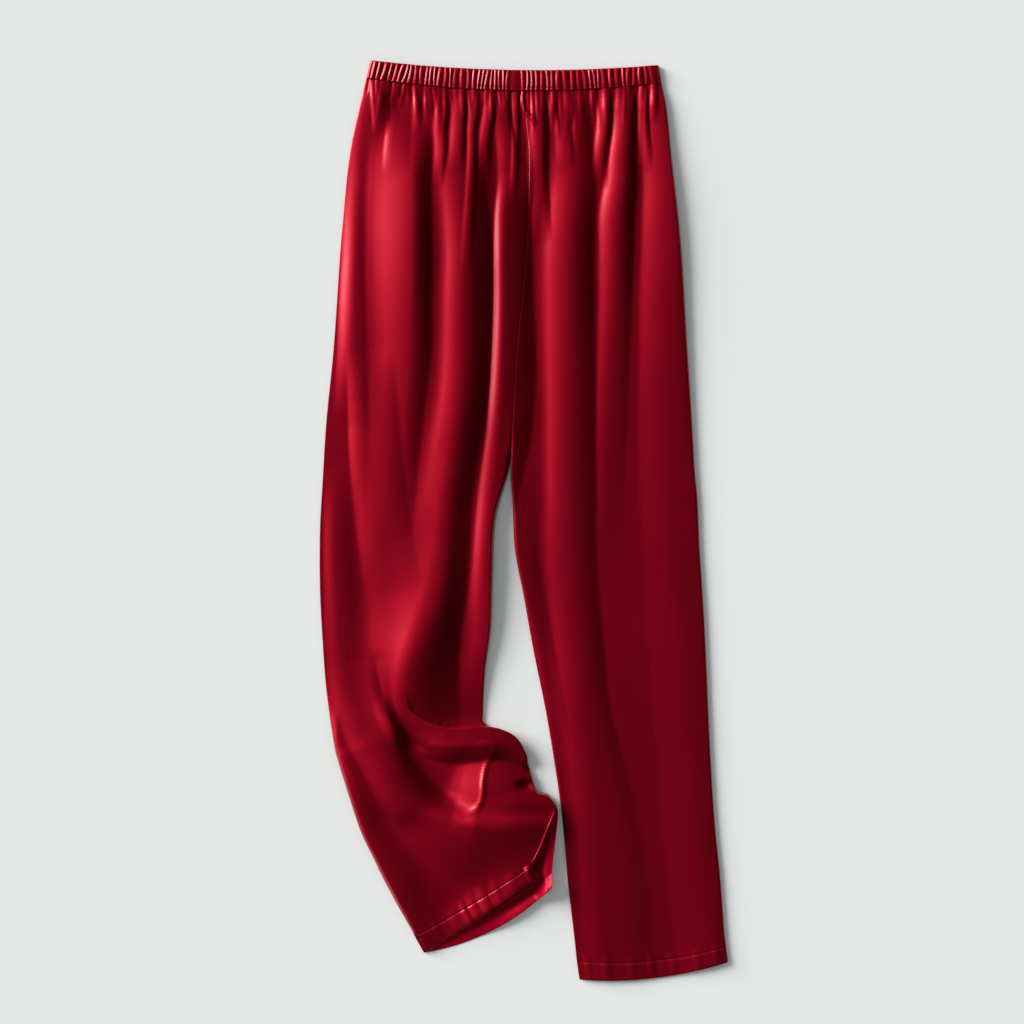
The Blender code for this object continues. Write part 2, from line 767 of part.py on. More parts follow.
def table_rows(sections, first, last):
    """Mesh rows between two sections, each a place in the table."""
    places = [float(first)]
    for index in range(first, last):
        steps = sections[index].steps
        places += [index + (step + 1) / steps for step in range(steps)]
    return np.array(places)


def plan_rows(sections, places, shares):
    """Plan points of mesh rows that follow the sections, as arrays of X and Y."""
    table = np.array([section[:5] for section in sections], dtype=float)
    index = np.arange(len(sections), dtype=float)
    west_x, west_y, east_x, east_y, bow = (
        through(index, column, places)[:, None] for column in table.T
    )
    width = np.hypot(east_x - west_x, east_y - west_y)
    sag = bow * 4 * shares * (1 - shares)
    x = west_x + (east_x - west_x) * shares + sag * (east_y - west_y) / width
    y = west_y + (east_y - west_y) * shares - sag * (east_x - west_x) / width
    return x, y, width


def edge_rounding(distance, reach):
    """Height factor near a free edge: a quarter ellipse from the rim up to the full height."""
    away = np.clip(distance / reach, 0.0, 1.0)
    return np.sqrt(1 - (1 - away) ** 2)


def upper_surface(paths, x, y, width, shares, rim, joined_west, joined_east):
    """Outer height of an upper layer, and how much fuller its wall is near a free edge."""
    joined = smooth_step((y - CROTCH_Y) / CROTCH_BLEND)
    west = edge_rounding(width * shares, INNER_EDGE_ROUND if joined_west else WEST_EDGE_ROUND)
    east = edge_rounding(width * (1 - shares), EAST_EDGE_ROUND)
    if joined_west:
        west = west + (1 - west) * joined
    if joined_east:
        east = east + (1 - east) * joined
    freed = smooth_step((band_foot(x) - y) / SEAM_HELD_REACH)
    held = west * east * (SEAM_HELD + (1 - SEAM_HELD) * freed)
    fuller = EDGE_FULLNESS * (1 - west * east)
    return rim + fuller + cloth_lift(paths, x, y) * held, fuller


def wall_depth(x, y, z, thickness):
    """Depth of the wall under each point, so that it is `thickness` deep square to the cloth."""
    across = np.stack([np.gradient(axis, axis=1) for axis in (x, y, z)], axis=-1)
    along = np.stack([np.gradient(axis, axis=0) for axis in (x, y, z)], axis=-1)
    normal = np.cross(across, along)
    upright = np.abs(normal[..., 2]) / np.linalg.norm(normal, axis=-1)
    return thickness * np.minimum(1 / upright, STEEPEST_WALL)


def layer_rows(x, y, top, bottom):
    """Rows of outer and inner points, from arrays."""
    return [
        (np.column_stack([x[row], y[row], top[row]]), np.column_stack([x[row], y[row], bottom[row]]))
        for row in range(len(x))
    ]


def strip_faces(upper, lower):
    """Triangles between two rows of vertices, where one may have twice the columns of the other."""
    faces = []
    if len(upper) == len(lower):
        for i in range(len(upper) - 1):
            faces.append((upper[i], lower[i], lower[i + 1]))
            faces.append((upper[i], lower[i + 1], upper[i + 1]))
        return faces
    for i in range(len(lower) - 1):
        faces.append((upper[2 * i], lower[i], upper[2 * i + 1]))
        faces.append((upper[2 * i + 1], lower[i], lower[i + 1]))
        faces.append((upper[2 * i + 1], lower[i + 1], upper[2 * i + 2]))
    return faces


def make_solid(name, vertices, faces, material):
    """One closed body from points in millimetres, with its faces pointing out."""
    mesh = bpy.data.meshes.new(name)
    middle = np.array([ORIGIN_X, ORIGIN_Y, 0.0])
    placed = (np.array(vertices, dtype=float) - middle) * MM
    mesh.from_pydata(placed.tolist(), [], faces)
    body = bmesh.new()
    body.from_mesh(mesh)
    bmesh.ops.recalc_face_normals(body, faces=body.faces)
    body.to_mesh(mesh)
    body.free()
    mesh.shade_smooth()
    mesh.set_sharp_from_angle(angle=math.radians(SHARP_ANGLE))
    mesh.materials.append(material)
    solid = bpy.data.objects.new(name, mesh)
    bpy.context.collection.objects.link(solid)
    return solid


def make_wall(name, rows, material):
    """A wall of cloth from rows of outer and inner points, closed all round its edges."""
    vertices = []
    outer = []
    inner = []
    for top, bottom in rows:
        outer.append(list(range(len(vertices), len(vertices) + len(top))))
        vertices.extend(top)
        inner.append(list(range(len(vertices), len(vertices) + len(bottom))))
        vertices.extend(bottom)
    faces = []
    for row in range(len(rows) - 1):
        faces += strip_faces(outer[row], outer[row + 1])
        faces += [face[::-1] for face in strip_faces(inner[row], inner[row + 1])]
        for side in (0, -1):
            rim = (outer[row][side], inner[row][side], inner[row + 1][side], outer[row + 1][side])
            faces.append(rim if side == 0 else rim[::-1])
    for end in (0, -1):
        for i in range(len(outer[end]) - 1):
            rim = (outer[end][i], outer[end][i + 1], inner[end][i + 1], inner[end][i])
            faces.append(rim if end == 0 else rim[::-1])
    return make_solid(name, vertices, faces, material)


def back_block(paths, sections, places, shares, joined_west, joined_east):
    """Rows of one stretch of a back panel."""
    x, y, width = plan_rows(sections, places, shares)
    if joined_west:
        x = x + SEAM_GAP / 2 * (1 - shares)
    if joined_east:
        x = x - SEAM_GAP / 2 * shares
    if places[0] == 0:
        y[0] = band_foot(x[0]) - SEAM_GAP
    rim = BACK_RIM + CLOTH
    top, fuller = upper_surface(paths, x, y, width, shares, rim, joined_west, joined_east)
    bottom = np.maximum(top - wall_depth(x, y, top, CLOTH) - fuller, BACK_RIM)
    return layer_rows(x, y, top, bottom)


def make_back(name, paths, sections, columns, joined_west, joined_east, material):
    """A back panel: finely divided where the waist gathers it, and plainer below."""
    places = table_rows(sections, 0, len(sections) - 2)
    fine_shares = columns_across(2 * columns)
    fine = back_block(paths, sections, places[:FINE_ROWS], fine_shares, joined_west, joined_east)
    plain_shares = fine_shares[::2]
    plain = back_block(paths, sections, places[FINE_ROWS:], plain_shares, joined_west, joined_east)
    return make_wall(name, fine + plain, material)


def make_front(name, sections, joined_west, joined_east, material):
    """A front panel: a flat sheet on the table, more plainly divided than the panel on it."""
    last = len(sections) - 2
    places = table_rows(sections, 0, last)
    places = np.append(places[:-1:2], last)
    shares = np.linspace(0.0, 1.0, FRONT_COLUMNS + 1)
    x, y, _ = plan_rows(sections, places, shares)
    if joined_west:
        x = x + SEAM_GAP / 2 * (1 - shares)
    if joined_east:
        x = x - SEAM_GAP / 2 * shares
    y[0] = band_foot(x[0]) - SEAM_GAP
    return make_wall(name, layer_rows(x, y, np.full_like(x, FRONT_TOP), np.zeros_like(x)), material)


def hem_plan(sections, shares):
    """Plan of a hem from just past its stitch line to its edge."""
    last = len(sections) - 1
    x, y, width = plan_rows(sections, table_rows(sections, last - 1, last), shares)
    depth = np.hypot(x[-1] - x[0], y[-1] - y[0])
    x[0] += (x[-1] - x[0]) * SEAM_GAP / depth
    y[0] += (y[-1] - y[0]) * SEAM_GAP / depth
    return x, y, width


def make_back_hem(name, paths, sections, columns, material):
    """The turned hem of a back panel, twice as thick as its cloth."""
    shares = columns_across(columns)
    x, y, width = hem_plan(sections, shares)
    rim = HEM_RIM + HEM_CLOTH
    top, fuller = upper_surface(paths, x, y, width, shares, rim, False, False)
    bottom = np.maximum(top - wall_depth(x, y, top, HEM_CLOTH) - fuller, HEM_RIM)
    return make_wall(name, layer_rows(x, y, top, bottom), material)


def make_front_hem(name, sections, material):
    """The turned hem of a front panel, flat on the table."""
    shares = np.linspace(0.0, 1.0, 2 * FRONT_COLUMNS + 1)
    x, y, _ = hem_plan(sections, shares)
    return make_wall(name, layer_rows(x, y, np.full_like(x, HEM_CLOTH), np.zeros_like(x)), material)


def gather_columns(west, east, count, rng):
    """Columns of one gathered stretch: (share of the band's width, height share) pairs."""
    columns = []
    pitch = (east - west) / count
    for index in range(count):
        start = west + pitch * index
        height = rng.uniform(GATHER_LEAST, GATHER_MOST)
        lean = rng.uniform(-GATHER_LEAN, GATHER_LEAN)
        columns.append((start, 0.0))
        for point in GATHER_POINTS:
            columns.append((start + pitch * (point.across + lean), point.height * height))
    return columns


def band_columns():
    """Columns of the casing's gathered upper wall, plain at the centre back join."""
    rng = random.Random(RANDOM_SEED)
    join_west = band_share(JOIN_WEST_X, BAND_FOOT_WEST, BAND_FOOT_EAST)
    join_east = band_share(JOIN_EAST_X, BAND_FOOT_WEST, BAND_FOOT_EAST)
    end = BAND_END_PLAIN / (BAND_FOOT_EAST[0] - BAND_FOOT_WEST[0])
    columns = gather_columns(end, join_west, WEST_GATHERS, rng)
    columns += [(join_west, 0.0)]
    columns += gather_columns(join_east, 1 - end, EAST_GATHERS, rng)
    return columns + [(1 - end, 0.0)]


def band_point(share, down, z):
    """A point of the casing at a share of its width and a share of its depth from the top."""
    west_x = BAND_TOP_WEST[0] + (BAND_FOOT_WEST[0] - BAND_TOP_WEST[0]) * down
    east_x = BAND_TOP_EAST[0] + (BAND_FOOT_EAST[0] - BAND_TOP_EAST[0]) * down
    top = band_edge(share, BAND_TOP_WEST, BAND_TOP_EAST, BAND_TOP_BOW)
    foot = band_edge(share, BAND_FOOT_WEST, BAND_FOOT_EAST, BAND_FOOT_BOW)
    return (west_x + (east_x - west_x) * share, top + (foot - top) * down, z)


def band_loop():
    """Columns round the casing: share, outer z, inner z and gather share."""
    outer_top = BAND_LOWER_WALL + BAND_SLIT + BAND_UPPER_WALL
    middle = BAND_LOWER_WALL + BAND_SLIT / 2
    outer_radius = outer_top / 2
    inner_radius = BAND_SLIT / 2
    width = BAND_FOOT_EAST[0] - BAND_FOOT_WEST[0]
    end = outer_radius / width
    gathered = band_columns()
    loop = [(share, share, outer_top, middle + inner_radius, wave) for share, wave in gathered]
    for step in range(1, BAND_END_STEPS):
        angle = math.pi / 2 - math.pi * step / BAND_END_STEPS
        reach = math.cos(angle)
        rise = math.sin(angle)
        loop.append((
            1 - end + end * reach,
            1 - end + inner_radius / width * reach,
            outer_radius + outer_radius * rise,
            middle + inner_radius * rise,
            0.0,
        ))
    for share in np.linspace(1 - end, end, BAND_FRONT_COLUMNS + 1):
        loop.append((share, share, 0.0, middle - inner_radius, 0.0))
    for step in range(1, BAND_END_STEPS):
        angle = -math.pi / 2 - math.pi * step / BAND_END_STEPS
        reach = math.cos(angle)
        rise = math.sin(angle)
        loop.append((
            end + end * reach,
            end + inner_radius / width * reach,
            outer_radius + outer_radius * rise,
            middle + inner_radius * rise,
            0.0,
        ))
    return loop


def make_band(name, material):
    """The waist casing, one closed loop of cloth pressed flat."""
    loop = band_loop()
    vertices = []
    outer = []
    inner = []
    for row in BAND_ROWS:
        outer.append(list(range(len(vertices), len(vertices) + len(loop))))
        for share, _, z, _, wave in loop:
            let_down = row.drop if z > BAND_LOWER_WALL + BAND_SLIT else 0.0
            height = z + wave * row.fullness * GATHER_HEIGHT - let_down
            vertices.append(band_point(share, row.down, height))
    for down in (BAND_ROWS[0].down, BAND_ROWS[-1].down):
        inner.append(list(range(len(vertices), len(vertices) + len(loop))))
        for _, share, _, z, _ in loop:
            vertices.append(band_point(share, down, z))
    faces = []
    count = len(loop)
    rings = outer + [inner[1], inner[0], outer[0]]
    pairs = zip(rings, rings[1:])
    for upper, lower in pairs:
        for i in range(count):
            after = (i + 1) % count
            faces.append((upper[i], lower[i], lower[after]))
            faces.append((upper[i], lower[after], upper[after]))
    return make_solid(name, vertices, faces, material)


def satin():
    """Deep crimson satin."""
    material = bpy.data.materials.new("crimson_satin")
    material.use_nodes = True
    shader = material.node_tree.nodes["Principled BSDF"]
    shader.inputs["Base Color"].default_value = (*SATIN_RED, 1.0)
    shader.inputs["Roughness"].default_value = SATIN_ROUGHNESS
    shader.inputs["Metallic"].default_value = SATIN_METALLIC
    return material


def main():
    for item in list(bpy.data.objects):
        bpy.data.objects.remove(item, do_unlink=True)
    left_paths = all_paths()
    right_paths = all_paths(LEFT_LEG_ALONE)
    make_band("waistband", satin())
    make_back("back_left", left_paths, BACK_LEFT_SECTIONS, LEFT_COLUMNS, False, True, satin())
    make_back("back_right", right_paths, BACK_RIGHT_SECTIONS, RIGHT_COLUMNS, True, False, satin())
    make_front("front_left", FRONT_LEFT_SECTIONS, False, True, satin())
    make_front("front_right", BACK_RIGHT_SECTIONS, True, False, satin())
    make_back_hem("hem_left_back", left_paths, BACK_LEFT_SECTIONS, LEFT_COLUMNS, satin())
    make_back_hem("hem_right_back", right_paths, BACK_RIGHT_SECTIONS, RIGHT_COLUMNS, satin())
    make_front_hem("hem_left_front", FRONT_LEFT_SECTIONS, satin())
    make_front_hem("hem_right_front", BACK_RIGHT_SECTIONS, satin())


main()
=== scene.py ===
"""Looks of satin pyjama trousers that lie flat with the back up.

The tables give millimetres on a drawing of the trousers: X runs across them, Y from the hems up to
the waist and Z up from the table. West is the side of the lower X. The back panels are the upper
layer and carry the folds, and the front panels lie flat under them.
"""

import math
import random
from collections import namedtuple

import bpy
import numpy as np
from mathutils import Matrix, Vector


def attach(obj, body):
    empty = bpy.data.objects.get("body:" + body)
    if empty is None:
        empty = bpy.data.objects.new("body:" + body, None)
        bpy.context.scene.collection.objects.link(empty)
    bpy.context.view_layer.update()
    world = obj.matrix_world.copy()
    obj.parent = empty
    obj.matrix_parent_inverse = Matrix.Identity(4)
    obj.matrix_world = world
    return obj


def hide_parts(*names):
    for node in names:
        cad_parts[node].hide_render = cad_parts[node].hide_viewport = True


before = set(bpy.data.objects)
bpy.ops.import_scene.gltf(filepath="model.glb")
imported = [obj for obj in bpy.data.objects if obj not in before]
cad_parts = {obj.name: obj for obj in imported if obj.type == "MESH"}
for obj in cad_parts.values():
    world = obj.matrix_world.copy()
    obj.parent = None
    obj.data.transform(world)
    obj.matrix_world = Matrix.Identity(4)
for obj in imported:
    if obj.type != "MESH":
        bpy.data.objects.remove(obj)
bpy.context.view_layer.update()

MM = 0.001
BODY = "root"
SEED = 11

# The middle of the trousers on the drawing.
ORIGIN_X = 0.333
ORIGIN_Y = 1.362

# The satin's thickness, the height of the upper layer's rims, and how far in from a free edge the
# cloth rounds up to its full height. Below SHIN_TOP_Y the west edge is rounded more tightly.
SATIN = 0.45
BACK_EDGE_TOP = 2.7
HEM_EDGE_TOP = 2.9
WEST_EDGE_ROUND = 19.0
SHIN_EDGE_ROUND = 4.5
SHIN_TOP_Y = -180.0
SHIN_BLEND = 60.0
EAST_EDGE_ROUND = 2.6
INNER_EDGE_ROUND = 3.0
LEAST_LIFT = 0.2

# A fold's crest is drawn in short steps. Its widths and height are averaged over a stretch of it,
# which is at most a share of the whole fold.
PATH_STEP = 3.0
LEAST_BEND = 0.3
SMOOTHED_STRETCH = 26.0
SMOOTHED_SHARE = 0.125
SMOOTHED_PARTS = np.linspace(-1, 1, 9)

# The upper layer is held down along the casing's foot, and its two panels are sewn together from
# the waist to the crotch.
SEAM_HELD = 0.6
SEAM_HELD_REACH = 24.0
SEAM_TUCK = 0.5
SEAM_DEPTH = 6.6
CROTCH_Y = 57.0
CROTCH_BLEND = 42.0
SEWN_BLEND = 10.0
SEWN_DEPTH = 0.4

# A back panel runs on under its hem, whose face is sunk along the stitches and rounds over at the
# edge. The turned-in cloth is a list of places across the hem, each with its depth below the face.
HEM_TUCK = 2.0
HEM_TUCK_DEPTH = 0.8
STITCH_SINK = 0.5
STITCH_SINK_REACH = 0.05
BACK_HEM_STEPS = np.array(
    [0, 0.03, 0.07, 0.12, 0.2, 0.3, 0.4, 0.5, 0.6, 0.7, 0.8, 0.88, 0.94, 0.975, 1.0]
)
BACK_HEM_EDGE_DROP = 0.75
BACK_HEM_LAST_DROP = 0.22
TURNED_IN = ((1.0, 1.35), (0.93, 1.75), (0.75, 1.8), (0.5, 1.8))

# A front panel's inner face, whose edges turn up to the seam. The left one curls up beside its
# hem, below CURL_TOP_Y and towards its east edge.
FRONT_FACE = 0.75
FRONT_TURN = 0.65
FRONT_TURN_REACH = 5.0
LEFT_CURL = 9.5
CURL_TOP_Y = -303.0
CURL_BLEND = 30.0
CURL_START = 1.35
CURL_REACH = 18.0
HEM_CURL = 0.6
HEM_CURL_FROM = 0.35
HEM_CURL_BLEND = 0.4
FRONT_HEM_STEPS = np.array([0, 0.04, 0.1, 0.2, 0.35, 0.5, 0.65, 0.8, 0.9, 0.96, 1.0])
FRONT_HEM_PLY = 0.45
FRONT_HEM_PLY_STEP = 0.1
FRONT_HEM_LAST_DROP = 0.1

# How finely the pieces are divided. Faces that meet at less than so many degrees are shaded as one.
LEFT_COLUMNS = 164
RIGHT_COLUMNS = 140
FRONT_COLUMNS = 44
EDGE_CROWDING = 0.6
SHADED_AS_ONE = 60.0
CASING_SHADED_AS_ONE = 70.0

# The waist casing: two walls pressed together, joined by round ends. Its gathers stand up on the
# upper wall, and between them is a short plain stretch with the centre join.
BAND_LOWER_WALL = 2.4
BAND_SLIT = 1.2
BAND_UPPER_WALL = 2.2
BAND_TOP_WEST = (-166.0, 501.0)
BAND_TOP_EAST = (147.0, 496.0)
BAND_FOOT_WEST = (-171.0, 481.5)
BAND_FOOT_EAST = (150.0, 476.0)
BAND_TOP_BOW = 8.0
BAND_FOOT_BOW = 11.4
BAND_END_PLAIN = 4.0
JOIN_WEST_X = -14.5
JOIN_EAST_X = -3.5
WEST_GATHERS = 28
EAST_GATHERS = 24
CASING_GATHER = 1.1
CASING_LEAN = 1.6
CASING_CURL = 1.3
CASING_SCALLOP = 0.5
SCALLOPED_PART = 0.1
CASING_UNDERSIDE = 0.12
UNDERSIDE_COLUMNS = 90
END_STEPS = 10
SMOOTHED_COLUMNS = 5
JOIN_PARTS = (0.15, 0.5, 0.85)
JOIN_HEIGHT = 0.42
JOIN_START_HEIGHT = 0.1

CASING_WIDTH = BAND_FOOT_EAST[0] - BAND_FOOT_WEST[0]
CASING_DEPTH = 19.0
CASING_TOP = BAND_LOWER_WALL + BAND_SLIT + BAND_UPPER_WALL
CASING_RADIUS = CASING_TOP / 2
SLIT_RADIUS = BAND_SLIT / 2
SLIT_MIDDLE = BAND_LOWER_WALL + SLIT_RADIUS

# What is drawn by chance for each gather of the casing: its width against its neighbours, its
# height, its lean, which keeps a share of the last one's, its curl, and how far its tail runs down.
GATHER_WIDTHS = (0.68, 1.35)
GATHER_HEIGHTS = (0.72, 1.15)
LEAN_KEPT = 0.6
LEAN_STEP = 1.2
CURL_STEP = 0.9
TAIL_LENGTHS = (12, 64)

# What all tails share: their height against their gather's, how far they drift with its lean, how
# full they are, the width from which they have their whole height, and how far past the gather
# they are worked out.
TAIL_HEIGHT = 1.15
TAIL_DRIFT = 0.10
TAIL_FULLNESS = 0.8
FULL_TAIL_WIDTH = 5.5
TAIL_ABOVE_FOOT = 6.0
TAIL_BESIDE = 3.0

# The panels rise towards the casing, and short gathers start a little way inside it.
WAIST_LIFT = 2.0
WAIST_LIFT_REACH = 26.0
GATHER_HEADROOM = 4.0

# A section crosses a leg from its west to its east edge. Its middle is bowed towards the hem by
# `bow`, and the mesh has a row every `gap` between it and the next section.
Section = namedtuple("Section", "west_x west_y east_x east_y bow gap")

BACK_LEFT_SECTIONS = [
    Section(-171, 481, -3, 467, 0, 1.3),
    Section(-179, 447, 0, 446, 0, 2.6),
    Section(-189, 397, 6, 397, 0, 2.6),
    Section(-198, 305, 4, 305, 0, 4.4),
    Section(-206, 191, -5, 191, 0, 4.4),
    Section(-214, 110, -10, 110, 0, 4.4),
    Section(-218, 46, -16, 57, 0, 4.4),
    Section(-221, -9, -30, 2, 0, 4.4),
    Section(-221, -73, -33, -58, 0, 4.4),
    Section(-218, -131, -35, -115, 0, 2.8),
    Section(-214, -183, -41, -159, 0, 2.8),
    Section(-206, -240, -44, -206, 0, 2.8),
    Section(-201, -261, -43, -218, 0, 2.8),
    Section(-194, -284, -26, -227, 0, 2.8),
    Section(-186, -309, -9, -236, 0, 2.8),
    Section(-176, -338, 2, -253, 0, 2.8),
    Section(-163, -365, 8, -272, 0, 2.8),
    Section(-153, -386, 15, -292, 0, 2.8),
    Section(-146, -399, 27, -296, 0, 2.8),
    Section(-138, -414, 36, -310, 0, 2.8),
    Section(-129, -430, 29, -330, 0, 2.8),
    Section(-122, -442, 19, -355, 2, 2.8),
    Section(-118, -450, 11, -370, 3, 2.8),
    Section(-108, -468, 18, -383, 3, 2.8),
]

# Towards its hem the left front panel shows past the back panel's east edge.
FRONT_LEFT_SECTIONS = BACK_LEFT_SECTIONS[:19] + [
    Section(-138, -414, 37, -312, 0, 2.8),
    Section(-129, -430, 35, -340, 3, 2.8),
    Section(-122, -442, 32, -366, 8, 2.8),
    Section(-118, -450, 31, -380, 12, 2.8),
    Section(-108, -468, 31, -395, 13, 2.8),
]

BACK_RIGHT_SECTIONS = [
    Section(-3, 467, 150, 475, 0, 1.3),
    Section(0, 446, 156, 447, 0, 2.6),
    Section(6, 397, 161, 397, 0, 2.6),
    Section(4, 305, 171, 305, 0, 4.4),
    Section(-5, 191, 178, 191, 0, 4.4),
    Section(-10, 110, 183, 110, 0, 4.4),
    Section(-14, 57, 186, 57, 0, 4.4),
    Section(-12, 24, 189, 24, 0, 4.4),
    Section(-10, -23, 191, -23, 0, 4.4),
    Section(-6, -50, 193, -54, 0, 4.4),
    Section(0, -79, 195, -85, 0, 4.4),
    Section(11, -140, 198, -140, 0, 4.4),
    Section(24, -204, 201, -210, 0, 4.4),
    Section(35, -270, 204, -270, 0, 4.4),
    Section(43, -329, 208, -329, 0, 4.4),
    Section(48, -389, 214, -389, 0, 3),
    Section(55, -449, 218, -443, 3, 3),
    Section(58, -477, 220, -461, 8, 3),
    Section(61, -497, 222, -478, 8, 3),
]

